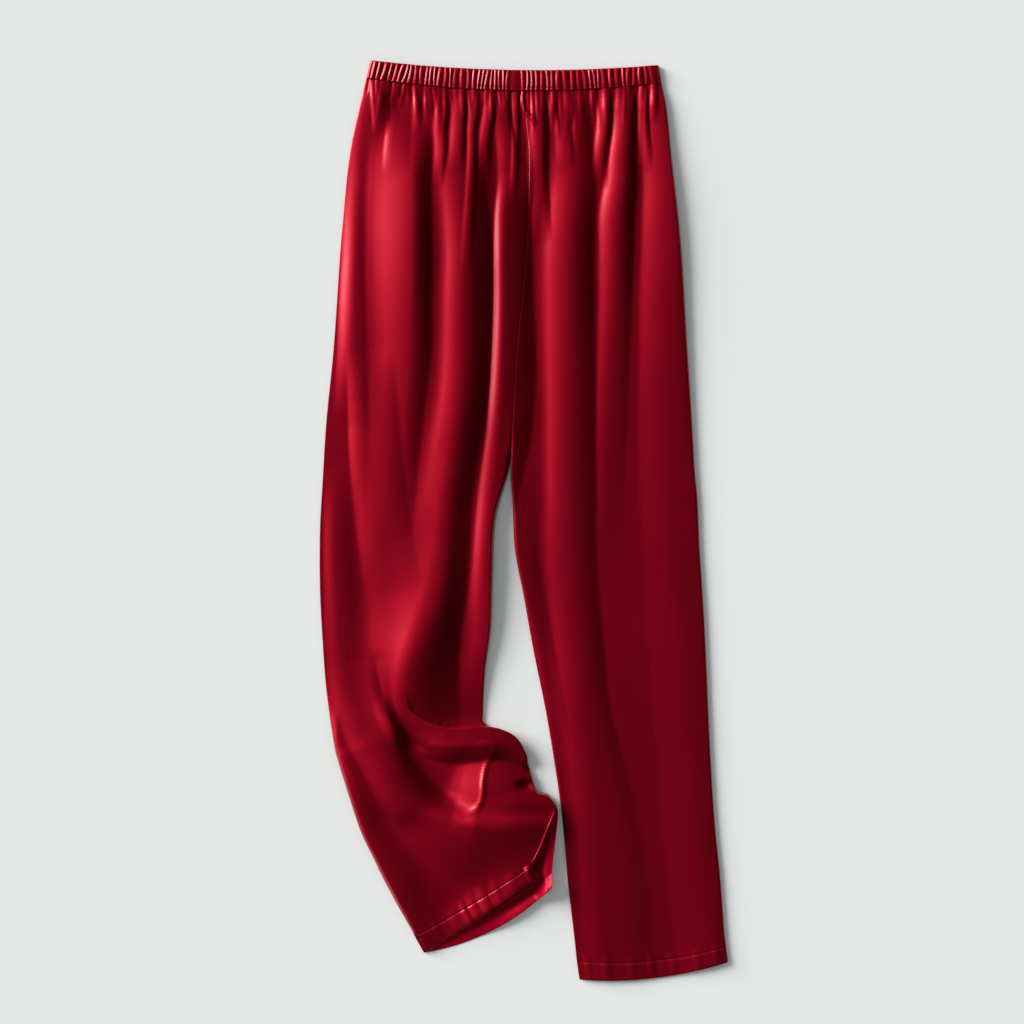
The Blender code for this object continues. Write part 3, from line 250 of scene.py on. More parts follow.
# A fold follows its stations from the waist down. A station is (Y of the crest, X of the crest,
# width of the west slope, width of the east slope, height of the crest), where west and east are
# the sides that they are on while the path runs down.
FOLDS = {
    "west edge roll": [
        (459, -170, 12, 44, 1.5), (404, -178, 14, 46, 2.5), (372, -178, 16, 46, 3),
        (334, -180, 18, 46, 4), (296, -181, 18, 46, 5), (241, -182, 20, 48, 5.5),
        (187, -181, 24, 48, 5), (160, -182, 24, 48, 3.4), (133, -184, 24, 48, 1.6),
        (105, -186, 24, 48, 0),
    ],
    "left outer sweep": [
        (64, -203, 14, 26, 0), (24, -205, 14, 28, 1.5), (-30, -205, 14, 30, 2.4),
        (-85, -201, 18, 34, 2.4), (-139, -197, 22, 36, 2.2), (-172, -193, 22, 38, 2),
        (-210, -181, 22, 38, 2.2), (-231, -175, 20, 38, 2.8), (-253, -162, 20, 38, 3.8),
        (-275, -146, 24, 37, 5.4), (-291, -132, 31, 35, 7.2), (-308, -115, 40, 32, 8.2),
        (-321, -94, 52, 30, 8.6), (-330, -68, 64, 28, 8.8), (-334, -40, 76, 26, 8.4),
        (-334, -14, 84, 24, 7), (-332, 10, 84, 22, 5.5), (-330, 34, 80, 20, 4),
    ],
    "left shin edge roll": [
        (-225, -205, 6, 8, 0), (-242, -201, 6, 12, 0.8), (-261, -196, 6, 15, 1.6),
        (-284, -189, 6, 20, 2.4), (-309, -181, 7, 27, 3.4), (-338, -171, 7, 36, 4.6),
        (-365, -158, 7, 48, 5.4), (-386, -147, 7, 58, 5.8), (-414, -132, 7, 58, 5.2),
        (-444, -116, 7, 54, 3.4),
    ],
    "west hip line": [
        (475, -159, 7, 12, 1.1), (455, -158, 8, 14, 1.7), (437, -158, 7, 14, 1.8),
        (420, -158, 7, 14, 0),
    ],
    "west hip second line": [
        (448, -141, 8, 18, 0), (430, -141, 9, 20, 1.6), (404, -143, 10, 22, 1.4),
        (376, -144, 10, 22, 0),
    ],
    "west hip swell": [
        (436, -121, 50, 22, 0), (404, -120, 52, 22, 5), (372, -121, 53, 22, 7.8),
        (334, -121, 54, 22, 9.2), (296, -121, 54, 23, 9.4), (241, -122, 53, 24, 8.2),
        (187, -123, 50, 25, 6), (133, -127, 44, 22, 3.8), (78, -131, 40, 20, 2.2),
        (24, -134, 38, 18, 1.2), (-20, -136, 36, 18, 0),
    ],
    "west thigh line": [
        (186, -174, 20, 36, 0), (133, -172, 20, 38, 4), (78, -169, 22, 40, 4.4),
        (24, -163, 24, 40, 3.6), (-30, -155, 26, 40, 2.6), (-80, -147, 26, 40, 0),
    ],
    "left body arch": [
        (462, -98, 72, 98, 0), (437, -98, 72, 98, 2), (404, -98, 74, 100, 5),
        (372, -97, 76, 104, 8), (334, -96, 78, 106, 9), (296, -96, 78, 108, 9.5),
        (241, -95, 79, 108, 9), (187, -95, 79, 108, 8), (133, -97, 78, 104, 7),
        (78, -100, 76, 96, 6.5), (24, -105, 78, 88, 6), (-30, -110, 76, 80, 5),
        (-85, -116, 70, 74, 3), (-139, -122, 60, 70, 1), (-170, -126, 56, 66, 0),
    ],
    "west thigh crease": [
        (472, -86, 12, 5, 1.0), (448, -85, 15, 5, 1.6), (426, -87, 12, 4.5, 2.4),
        (404, -87, 11, 4.5, 2), (384, -89, 10, 4.5, 1.1), (362, -91, 10, 4.5, 0),
    ],
    "thigh gather": [
        (470, -66, 12, 5, 1.8), (448, -66, 14, 5, 2.6), (426, -67, 14, 5, 2.8),
        (404, -68, 14, 6, 2), (380, -69, 14, 6, 0),
    ],
    "long thigh fold": [
        (430, -67, 32, 24, 0), (404, -67, 32, 25, 1.4), (372, -66, 33, 26, 4.4),
        (334, -62, 34, 27, 6.6), (296, -59, 35, 26, 7.8), (241, -60, 36, 28, 7.8),
        (187, -61, 36, 27, 7.6), (133, -65, 36, 27, 6.6), (78, -73, 38, 26, 4.6),
        (24, -81, 40, 26, 2.2), (-16, -86, 42, 26, 0),
    ],
    "lower thigh fold": [
        (190, -62, 44, 27, 0), (133, -66, 44, 27, 1.2), (78, -73, 48, 26, 3),
        (24, -80, 56, 26, 5.2), (-30, -84, 70, 27, 7.6), (-85, -93, 84, 30, 10.5),
        (-112, -103, 86, 39, 13), (-139, -115, 82, 52, 15), (-165, -124, 70, 60, 14.5),
        (-190, -129, 56, 66, 11.5), (-208, -131, 46, 66, 7.5), (-224, -131, 40, 66, 3.5),
        (-244, -130, 36, 66, 0),
    ],
    "shin roll": [
        (-176, -133, 30, 14, 0), (-190, -135, 30, 14, 0.5), (-202, -134, 30, 13, 1.6),
        (-212, -128, 30, 12, 3.4), (-221, -117, 32, 12, 5.8), (-228, -104, 32, 13, 8.2),
        (-233, -90, 30, 14, 10), (-235, -72, 29, 14, 11), (-234, -52, 28, 14, 11.5),
        (-234, -34, 26, 13, 11.5), (-239, -14, 22, 11, 10), (-248, 2, 20, 10, 8),
    ],
    "shin crease": [
        (-140, -160, 14, 34, 0), (-165, -156, 14, 38, -2), (-192, -149, 14, 42, -4),
        (-206, -143, 14, 46, -5), (-218, -137, 14, 48, -5.6), (-231, -131, 14, 48, -5.8),
        (-243, -126, 14, 48, -5.8), (-254, -121, 15, 46, -5.8), (-266, -111, 17, 42, -5.5),
        (-276, -101, 20, 36, -5), (-287, -89, 24, 32, -4.2), (-298, -76, 28, 26, -2.8),
        (-306, -64, 30, 22, -1.2), (-312, -54, 30, 20, 0),
    ],
    "shin overlap": [
        (-150, -168, 70, 22, 0), (-180, -165, 74, 22, 1.4), (-200, -162, 78, 22, 3),
        (-215, -159, 80, 22, 4.8), (-231, -152, 80, 22, 6.8), (-244, -147, 80, 23, 7.8),
        (-253, -142, 80, 24, 8.2), (-263, -132, 78, 26, 7.6), (-272, -119, 74, 28, 6),
        (-280, -102, 68, 30, 4), (-286, -85, 60, 30, 1.5), (-290, -70, 56, 30, 0),
    ],
    "left shin bulge": [
        (-244, -32, 12, 60, 0), (-254, -37, 22, 74, 3.4), (-268, -41, 38, 88, 6.8),
        (-280, -43, 47, 100, 9.4), (-292, -45, 50, 112, 11.4), (-301, -46, 48, 122, 12),
        (-309, -48, 46, 130, 11.6), (-316, -49.5, 50, 134, 10), (-326, -51.5, 70, 136, 7.8),
        (-340, -54, 84, 136, 5.6), (-358, -57, 90, 136, 3.6), (-380, -60, 90, 136, 1.8),
        (-410, -64, 90, 136, 0),
    ],
    "second thigh fold": [
        (472, -51, 11, 4, 2), (448, -51, 11, 4, 2.4), (426, -54, 9, 4, 2.2),
        (404, -54, 8, 4.5, 2.2), (372, -55, 8, 5, 2), (334, -57, 9, 5, 1.6), (296, -59, 9, 5, 0.8),
        (270, -60, 9, 5, 0),
    ],
    "third thigh fold": [
        (472, -34, 12, 4, 2.2), (448, -34, 12, 4.5, 2.6), (426, -38, 11, 5.5, 2.5),
        (404, -41, 9, 7, 2), (382, -42, 8, 8, 1), (360, -42, 8, 8, 0),
    ],
    "inner gather": [
        (472, -18, 14, 5, 1.8), (448, -18, 15, 5, 2.6), (426, -17, 16, 7, 2.4),
        (404, -14, 16, 9, 1.6), (380, -13, 16, 10, 0),
    ],
    "inner strip": [
        (432, -14, 18, 22, 0), (404, -13, 18, 24, 1.8), (372, -12, 18, 25, 4.2),
        (334, -16, 17, 26, 5.8), (296, -17, 17, 28, 7), (241, -17, 17, 29, 7.2),
        (187, -18, 18, 33, 7.4), (133, -20, 19, 35, 7.2), (95, -22, 21, 32, 6.4),
        (78, -24, 21, 30, 5.8), (24, -32, 20, 26, 3.6), (-30, -39, 16, 24, 2.2),
        (-85, -45, 15, 24, 1), (-120, -48, 15, 24, 0),
    ],
    "left inner edge": [
        (84, -9, 58, 30, 0), (57, -14, 56, 30, 1.5), (24, -21, 54, 30, 4.5), (-9, -27, 52, 30, 6.5),
        (-58, -30, 50, 30, 8), (-115, -32, 50, 30, 8), (-160, -38, 52, 30, 5),
        (-190, -42, 52, 30, 2), (-210, -42, 52, 30, 0),
    ],
    "centre crease": [
        (478, -7, 6, 3, 1.6), (448, -7, 8, 3.5, 2.2), (426, -7, 7, 3.5, 2.2), (404, -7, 6, 4, 1.8),
        (372, -8, 6, 4, 1), (350, -9, 6, 4, 0),
    ],
    "right seat crease": [
        (470, 19, 16, 7, 1.8), (448, 19, 17, 8, 3), (426, 19, 17, 9, 4.6), (404, 19, 16, 9, 4),
        (372, 19, 16, 9, 2.6), (334, 21, 15, 9, 1.6), (305, 23, 14, 9, 0),
    ],
    "right seat gather": [
        (470, 34, 6, 3.5, 1.8), (448, 34, 7, 3.5, 2), (430, 36, 7, 4, 1), (414, 37, 7, 4, 0),
    ],
    "right long gather": [
        (470, 50, 13, 5, 1.8), (448, 50, 14, 5, 2.6), (426, 47, 14, 6, 2.4), (404, 48, 14, 7, 1.4),
        (384, 49, 14, 7, 0),
    ],
    "right long fold": [
        (440, 54, 34, 22, 0), (404, 56, 34, 22, 2.4), (372, 57, 35, 23, 4.8),
        (334, 54, 37, 26, 6.6), (296, 51, 38, 28, 7), (241, 50, 37, 29, 6.6), (187, 49, 34, 31, 6),
        (133, 49, 32, 31, 5.6), (78, 49, 32, 31, 5.4), (24, 50, 33, 31, 5.2),
        (-30, 51, 36, 30, 4.8), (-85, 56, 38, 28, 4.6), (-139, 61, 38, 28, 4.6),
        (-193, 64, 36, 30, 4.2), (-250, 71, 34, 36, 3.6), (-302, 78, 34, 44, 3),
        (-378, 86, 34, 50, 2.4), (-443, 90, 34, 54, 2), (-510, 92, 34, 54, 1.6),
    ],
    "right hip pinch": [
        (468, 60, 7, 9, 1.6), (448, 60, 9, 11, 2.4), (426, 60, 12, 15, 2.6), (404, 60, 12, 15, 1),
        (386, 60, 12, 15, 0),
    ],
    "right inner roll": [
        (110, -8, 9, 20, 0.3), (46, -7, 9, 22, 0.5), (2, -6, 9, 22, 0.8), (-41, -2, 9, 20, 1),
        (-85, 8, 9, 18, 1.2), (-140, 20, 9, 16, 1.2), (-204, 33, 9, 14, 0.8), (-270, 43, 9, 12, 0),
    ],
    "right hip pleat": [
        (472, 91, 9, 5, 2.4), (448, 91, 12, 5.5, 3.6), (426, 90, 13, 6, 3.8), (404, 87, 12, 6, 3.2),
        (384, 85, 11, 7, 1.6), (362, 84, 10, 8, 0),
    ],
    "right thigh fold": [
        (472, 112, 16, 9, 2.4), (448, 113, 18, 10, 4.4), (426, 112, 18, 11, 5.6),
        (404, 110, 20, 13, 5.8), (372, 109, 23, 15, 6), (334, 104, 24, 18, 6),
        (296, 103, 23, 18, 4.6), (241, 100, 20, 19, 3.2), (187, 96, 17, 21, 2.4),
        (133, 93, 15, 22, 1.8), (78, 91, 13, 22, 1.2), (24, 90, 12, 20, 0.6), (-30, 89, 12, 20, 0),
    ],
    "east hip crease": [
        (470, 132, 8, 4, 2.2), (448, 132, 9, 4.5, 2.6), (426, 132, 9, 5, 2.4),
        (404, 133, 9, 7, 1.3), (382, 133, 9, 8, 0),
    ],
    "east edge roll": [
        (475, 150, 20, 12, 2), (448, 153, 24, 12, 3.6), (404, 158, 32, 14, 5.6),
        (372, 161, 34, 16, 6.8), (334, 163, 36, 18, 7.4), (296, 166, 42, 20, 6.8),
        (241, 165, 42, 26, 6), (187, 166, 44, 30, 5), (133, 168, 46, 34, 4), (78, 170, 48, 36, 3.4),
        (24, 173, 50, 36, 3), (-85, 181, 54, 36, 2.6), (-193, 189, 52, 34, 2.4),
        (-302, 195, 50, 32, 2.4), (-400, 203, 48, 30, 2.4), (-510, 211, 46, 28, 2.4),
    ],
    "left ankle roll": [
        (-334, -60, 50, 34, 0), (-331, -38, 60, 36, 1), (-326, -18, 70, 36, 2),
        (-321, 0, 76, 34, 2.8), (-318, 18, 76, 32, 3.2), (-318, 38, 74, 26, 3.4),
    ],
    "left hem rise": [
        (-456, -88, 3, 34, 0), (-441, -66, 3, 38, 3), (-426, -43, 3, 46, 6), (-411, -21, 3, 52, 8),
        (-396, 0, 3, 54, 8), (-383, 19, 3, 50, 6),
    ],
}

# Short gathers that the waist casing draws into the panels below it.
Gather = namedtuple("Gather", "x length half_width height")

GATHERS = [
    Gather(-148, 24, 4, 1.2),
    Gather(-138, 20, 4, 1.0),
    Gather(-128, 18, 4, 1.2),
    Gather(-115, 58, 6, 1.3),
    Gather(-104, 44, 5.5, 1.3),
    Gather(-97, 28, 3.5, 1.4),
    Gather(76, 26, 4.5, 1.5),
    Gather(141, 46, 5.5, 1.6),
]

# Broad, low swellings of the upper layer, where the cloth stands off the one below.
Swell = namedtuple("Swell", "x y half_width half_length height")

SWELLS = [
    Swell(-130, 200, 110, 330, 1.5),
    Swell(-120, -150, 100, 230, 1.5),
    Swell(-40, -30, 90, 130, 3.0),
    Swell(90, 200, 110, 330, 1.5),
    Swell(110, -220, 110, 330, 1.5),
    Swell(-34, -300, 100, 110, 3.5),
    Swell(3, -285, 15, 8, -5.0),
]

# Folds that the left leg has for itself, also where they reach past its inner edge.
LEFT_LEG_ALONE = (
    "west edge roll", "left outer sweep", "left shin edge roll", "lower thigh fold", "shin roll",
    "shin crease", "shin overlap", "left shin bulge", "left inner edge", "left ankle roll",
    "left hem rise",
)

# Folds whose crest is drawn over to the east side of its path, and how far.
FOLD_LEAN = {
    "shin roll": 6.0,
    "inner strip": -2.5,
}

# The shares of a slope's width over which its crest and its foot are rounded. Most folds have full
# crests and meet in sharp valleys.
Rounding = namedtuple("Rounding", "west_crest west_foot east_crest east_foot")

FULL_CREST = Rounding(0.72, 0.12, 0.72, 0.12)

FOLD_ROUNDING = {
    "west edge roll": Rounding(0.72, 0.12, 0.30, 0.65),
    "left outer sweep": Rounding(0.60, 0.20, 0.50, 0.40),
    "left body arch": Rounding(0.60, 0.30, 0.60, 0.30),
    "lower thigh fold": Rounding(0.22, 0.72, 0.45, 0.12),
    "long thigh fold": Rounding(0.62, 0.34, 0.72, 0.12),
    "right long fold": Rounding(0.62, 0.34, 0.72, 0.12),
    "shin roll": Rounding(0.35, 0.25, 0.72, 0.12),
    "shin crease": Rounding(0.20, 0.60, 0.20, 0.60),
    "shin overlap": Rounding(0.35, 0.60, 0.30, 0.15),
    "left shin bulge": Rounding(0.06, 0.34, 0.72, 0.12),
    "left ankle roll": Rounding(0.72, 0.25, 0.72, 0.20),
    "left shin edge roll": Rounding(0.60, 0.20, 0.35, 0.55),
    "left inner edge": Rounding(0.40, 0.55, 0.50, 0.40),
    "left hem rise": Rounding(0.20, 0.60, 0.12, 0.60),
}

# The share of a slope's width, next to the crest, over which a fold's top is flat.
FLAT_TOPS = {
    "shin roll": 0.4,
    "shin overlap": 0.5,
    "left ankle roll": 0.15,
}

# Narrow ridges that only the cloth shows.
FINE_FOLDS = {
    "shin bulge crest": [
        (-246, -32, 2.0, 3.0, 0), (-252, -34, 2.2, 3.4, 0.9), (-262, -40, 2.4, 3.6, 1.1),
        (-280, -44, 2.6, 3.8, 1.2), (-297, -45, 2.6, 3.8, 1.2), (-306, -48, 2.6, 3.4, 1.1),
        (-313, -56, 2.6, 3.0, 1.0), (-316, -66, 2.4, 2.6, 0.8), (-316, -78, 2.4, 2.4, 0),
    ],
    "left inseam welt": [
        (-308, 36, 1.8, 1.8, 0.4), (-316, 33, 1.8, 1.8, 0.8), (-330, 27, 1.8, 1.8, 0.8),
        (-355, 17, 1.8, 1.8, 0.8), (-369, 10, 1.8, 1.8, 0.6),
    ],
    "seat pleat": [
        (472, 0, 2.2, 2.2, 1.4), (462, -1, 2.2, 2.4, 1.8), (453, -1, 2.2, 2.6, 1.8),
        (446, 1, 2.4, 3, 2.0), (438, 9, 3, 4, 2.0), (429, 12, 4, 5, 0),
    ],
}

# A pinch draws a hem together across its depth: the share of the hem's width where it lies, its
# half width, its height and how far it runs up the panel.
Pinch = namedtuple("Pinch", "share half_width height reach")

PINCH_HALFWAY = 0.8
PINCH_EDGE = 0.3

LEFT_HEM_PINCHES = [
    Pinch(0.16, 5.0, 0.6, 8),
    Pinch(0.31, 7.0, 0.6, 8),
    Pinch(0.40, 4.0, 1.2, 10),
    Pinch(0.47, 6.0, 1.0, 13),
    Pinch(0.56, 7.0, 1.4, 15),
    Pinch(0.67, 5.0, 1.1, 12),
    Pinch(0.80, 7.0, 0.9, 8),
    Pinch(0.94, 5.0, 3.0, 3),
]

RIGHT_HEM_PINCHES = [
    Pinch(0.07, 5.0, 0.5, 8),
    Pinch(0.19, 6.0, 0.7, 10),
    Pinch(0.36, 6.0, 0.5, 8),
    Pinch(0.49, 5.0, 0.7, 9),
    Pinch(0.64, 6.0, 0.6, 9),
    Pinch(0.80, 6.0, 0.6, 8),
    Pinch(0.93, 5.0, 0.5, 8),
]

# Height across one gather of the casing, from its west foot to its east foot.
Across = namedtuple("Across", "share height")

GATHER_SHAPE = [
    Across(0.00, 0.00),
    Across(0.08, 0.20),
    Across(0.18, 0.52),
    Across(0.30, 0.86),
    Across(0.42, 1.00),
    Across(0.56, 0.86),
    Across(0.70, 0.68),
    Across(0.84, 0.40),
    Across(0.94, 0.10),
]

# Profile of the casing's wall from its inner top edge over its face to its inner foot: how far
# down it lies, its place between the inner and the outer face, and how full its gathers are.
WallPoint = namedtuple("WallPoint", "down outward fullness")

CASING_WALL = [
    WallPoint(0.015, 0.00, 0.0),
    WallPoint(-0.005, 0.35, 0.15),
    WallPoint(0.000, 0.70, 0.30),
    WallPoint(0.035, 0.92, 0.50),
    WallPoint(0.09, 1.00, 0.70),
    WallPoint(0.17, 1.02, 0.88),
    WallPoint(0.27, 1.05, 0.97),
    WallPoint(0.38, 1.08, 1.00),
    WallPoint(0.50, 1.08, 1.00),
    WallPoint(0.62, 1.06, 1.00),
    WallPoint(0.73, 1.02, 0.97),
    WallPoint(0.81, 0.98, 0.90),
    WallPoint(0.87, 0.90, 0.78),
    WallPoint(0.92, 0.96, 0.80),
    WallPoint(0.965, 0.92, 0.65),
    WallPoint(0.990, 0.76, 0.42),
    WallPoint(1.00, 0.40, 0.18),
    WallPoint(0.985, 0.00, 0.0),
]

# Slow waves over the whole upper layer: length across the leg, length along it, and height.
Wave = namedtuple("Wave", "across along height")

SLOW_WAVES = [
    Wave(64, 700, 0.10),
    Wave(41, 520, 0.07),
]
WAVE_SHIFT = 1.7
WAVE_SWING = 0.6
WAVE_SWING_LENGTH = 2.3

# Short threads along the hems: their length, gap and thickness, and the rings of one thread, each
# a share of its length and of its radius.
STITCH_LENGTH = 2.3
STITCH_GAP = 1.3
STITCH_RADIUS = 0.28
STITCH_FLATNESS = 0.8
STITCH_SIDES = 6
STITCH_RINGS = ((0.0, 0.25), (0.12, 0.75), (0.35, 1.0), (0.65, 1.0), (0.88, 0.75), (1.0, 0.25))
STITCH_LINE = 0.02
STITCH_LINE_SHARES = np.linspace(0.02, 0.98, 160)
STITCH_RAISED = 0.1

# How closely the satin's threads, slubs and mottling lie along and across the cloth.
WARP = (900, 50)
WEFT = (55, 860)
SLUB = (40, 420)
MOTTLE = (14, 9)

rng = random.Random(SEED)


# ---- curves and folds


def through(stations, values, at):
    """Values of a smooth curve through a table's values, which keeps close to them."""
    slopes = np.gradient(values, stations)
    place = np.clip(np.searchsorted(stations, at, side="right") - 1, 0, len(stations) - 2)
    span = stations[place + 1] - stations[place]
    t = (at - stations[place]) / span
    return (
        (2 * t**3 - 3 * t**2 + 1) * values[place]
        + (t**3 - 2 * t**2 + t) * span * slopes[place]
        + (3 * t**2 - 2 * t**3) * values[place + 1]
        + (t**3 - t**2) * span * slopes[place + 1]
    )


def arch(share):
    """A parabola that rises from 0 to 1 in the middle and falls back to 0."""
    return 4 * share * (1 - share)


def smooth_step(value):
    """A soft step from 0 to 1 while the value goes from 0 to 1."""
    clipped = np.clip(value, 0.0, 1.0)
    return clipped * clipped * (3 - 2 * clipped)


def fold_path(stations):
    """Points along a fold's crest, with its unit direction, its bend, widths and height."""
    table = np.array(stations, dtype=float)
    y, x, west, east, height = table.T
    length = np.concatenate([[0.0], np.cumsum(np.hypot(np.diff(x), np.diff(y)))])
    at = np.linspace(0.0, length[-1], max(2, int(length[-1] / PATH_STEP)))
    crest_x = through(length, x, at)
    crest_y = through(length, y, at)
    step_x = np.gradient(crest_x)
    step_y = np.gradient(crest_y)
    step = np.hypot(step_x, step_y)
    way_x = step_x / step
    way_y = step_y / step
    bend = (way_x * np.gradient(way_y) - way_y * np.gradient(way_x)) / step
    # Widths and height are smoothed over a stretch that shrinks towards the fold's ends.
    stretch = min(SMOOTHED_STRETCH, SMOOTHED_SHARE * length[-1])
    stretch = np.minimum(stretch, np.minimum(at, length[-1] - at))
    shape = [
        np.mean([np.interp(at + part * stretch, length, column) for part in SMOOTHED_PARTS], axis=0)
        for column in (west, east, height)
    ]
    return np.array([crest_x, crest_y, way_x, way_y, bend, *shape])


def slope_profile(out, round_crest, round_foot):
    """Height share across a slope: a round crest, a straight fall and a round foot."""
    fall = 1 / (1 - (round_crest + round_foot) / 2)
    crest = 1 - fall * out**2 / (2 * round_crest)
    slope = 1 - fall * (out - round_crest / 2)
    foot = fall * (1 - out) ** 2 / (2 * round_foot)
    return np.where(out < round_crest, crest, np.where(out > 1 - round_foot, foot, slope))


def fold_at(path, rounding, flat, x, y):
    """Where a fold reaches, its height share and crest height there, and its direction."""
    crest_x, crest_y, along_x, along_y, bend, west, east, _ = path
    reach = max(west.max(), east.max())
    near = (
        (x > crest_x.min() - reach)
        & (x < crest_x.max() + reach)
        & (y > crest_y.min() - reach)
        & (y < crest_y.max() + reach)
    )
    from_x = x[near][:, None] - crest_x
    from_y = y[near][:, None] - crest_y
    closest = np.argmin(from_x**2 + from_y**2, axis=1)
    row = np.arange(len(closest))
    from_x, from_y = from_x[row, closest], from_y[row, closest]
    # The nearest point is sought between the two crest points next to it, so that the slopes
    # don't step from one crest point to the next. On the outside of a bend it lies less far on.
    ahead = from_x * along_x[closest] + from_y * along_y[closest]
    off = along_x[closest] * from_y - along_y[closest] * from_x
    ahead /= np.maximum(1 - bend[closest] * off, LEAST_BEND)
    last = len(crest_x) - 1
    spacing = np.hypot(crest_x[1] - crest_x[0], crest_y[1] - crest_y[0])
    place = np.clip(closest + ahead / spacing, 0, last)
    low = np.clip(place.astype(int), 0, last - 1)
    part = place - low
    near_x, near_y, way_x, way_y, _, near_west, near_east, crest = (
        column[low] * (1 - part) + column[low + 1] * part for column in path
    )
    off_x = x[near] - near_x
    off_y = y[near] - near_y
    away = np.hypot(off_x, off_y)
    aside = way_x * off_y - way_y * off_x
    out = away / np.where(aside > 0, near_east, near_west)
    out = np.clip((out - flat) / (1 - flat), 0.0, 1.0)
    west_share = slope_profile(out, rounding.west_crest, rounding.west_foot)
    east_share = slope_profile(out, rounding.east_crest, rounding.east_foot)
    share = np.where(aside > 0, east_share, west_share)
    return near, share, crest, way_x, way_y


# ---- the waist casing


def band_share(x, west, east):
    """The share of the casing's width at which an X lies."""
    return (x - west[0]) / (east[0] - west[0])


def band_edge(share, west, east, bow):
    """Y of an edge of the casing, which is bowed towards the hems."""
    return west[1] + (east[1] - west[1]) * share - bow * arch(share)


def band_foot(x):
    """Y of the casing's foot at an X."""
    share = band_share(x, BAND_FOOT_WEST, BAND_FOOT_EAST)
    return band_edge(share, BAND_FOOT_WEST, BAND_FOOT_EAST, BAND_FOOT_BOW)


# A gather of the casing, and the tail that it sends down into the panel.
CasingGather = namedtuple("CasingGather", "west east height lean curl tail")


def draw_gathers():
    """All gathers of the casing, each a little different from its neighbours."""
    gathers = []
    stretches = (
        (BAND_FOOT_WEST[0] + BAND_END_PLAIN, JOIN_WEST_X, WEST_GATHERS),
        (JOIN_EAST_X, BAND_FOOT_EAST[0] - BAND_END_PLAIN, EAST_GATHERS),
    )
    for west, east, count in stretches:
        weights = [rng.uniform(*GATHER_WIDTHS) for _ in range(count)]
        pitch = (east - west) / sum(weights)
        start = west
        lean = 0.0
        for weight in weights:
            end = start + weight * pitch
            lean = LEAN_KEPT * lean + rng.uniform(-LEAN_STEP, LEAN_STEP)
            height = rng.uniform(*GATHER_HEIGHTS)
            curl = rng.uniform(-CURL_STEP, CURL_STEP)
            tail = rng.uniform(*TAIL_LENGTHS)
            gathers.append(CasingGather(start, end, height, lean, curl, tail))
            start = end
    return gathers


def gather_tails(x, y):
    """Puckers that the casing's gathers send down into the panels."""
    below = band_foot(x) - y
    lift = np.zeros_like(x)
    for gather in gathers:
        width = gather.east - gather.west
        near = (
            (below > -TAIL_ABOVE_FOOT)
            & (below < gather.tail)
            & (x > gather.west - TAIL_BESIDE)
            & (x < gather.east + TAIL_BESIDE)
        )
        drift = -gather.lean * TAIL_DRIFT * below[near]
        share = (x[near] - drift - gather.west) / width
        round_top = np.clip(arch(share), 0, 1) ** TAIL_FULLNESS
        fade = smooth_step(1 - below[near] / gather.tail)
        narrow = min(1.0, width / FULL_TAIL_WIDTH)
        lift[near] += TAIL_HEIGHT * gather.height * round_top * fade * narrow
    return lift


# ---- the panels


def gather_stations(gather):
    """A gather as a short fold that runs down from the band's foot and dies away."""
    top = float(band_foot(gather.x)) + GATHER_HEADROOM
    slopes = (gather.half_width, gather.half_width)
    return [
        (top, gather.x, *slopes, gather.height),
        (top - gather.length / 2, gather.x, *slopes, gather.height),
        (top - gather.length, gather.x, *slopes, 0),
    ]


def pinch_stations(pinch, sections):
    """A pinch of a hem as a short fold across the hem and a little way up the panel."""
    last = len(sections) - 1
    x, y, _ = plan_rows(sections, np.array([last - 1.0, last]), np.array([pinch.share]))
    (x0, x1), (y0, y1) = x[:, 0], y[:, 0]
    up = pinch.reach / math.hypot(x1 - x0, y1 - y0)
    slopes = (pinch.half_width, pinch.half_width)
    return [
        (y0 + (y0 - y1) * up, x0 + (x0 - x1) * up, *slopes, 0),
        (y0, x0, *slopes, pinch.height),
        ((y0 + y1) / 2, (x0 + x1) / 2, *slopes, PINCH_HALFWAY * pinch.height),
        (y1, x1, *slopes, PINCH_EDGE * pinch.height),
    ]


def all_paths(left_out=()):
    """Every fold's path with its rounding, its flat top and its lean."""
    paths = [
        (
            fold_path(rows),
            FOLD_ROUNDING.get(name, FULL_CREST),
            FLAT_TOPS.get(name, 0.0),
            FOLD_LEAN.get(name, 0.0),
        )
        for name, rows in FOLDS.items()
        if name not in left_out
    ]
    rows = [gather_stations(gather) for gather in GATHERS]
    rows += list(FINE_FOLDS.values())
    rows += [pinch_stations(pinch, BACK_LEFT_SECTIONS) for pinch in LEFT_HEM_PINCHES]
    rows += [pinch_stations(pinch, BACK_RIGHT_SECTIONS) for pinch in RIGHT_HEM_PINCHES]
    return paths + [(fold_path(stations), FULL_CREST, 0.0, 0.0) for stations in rows]


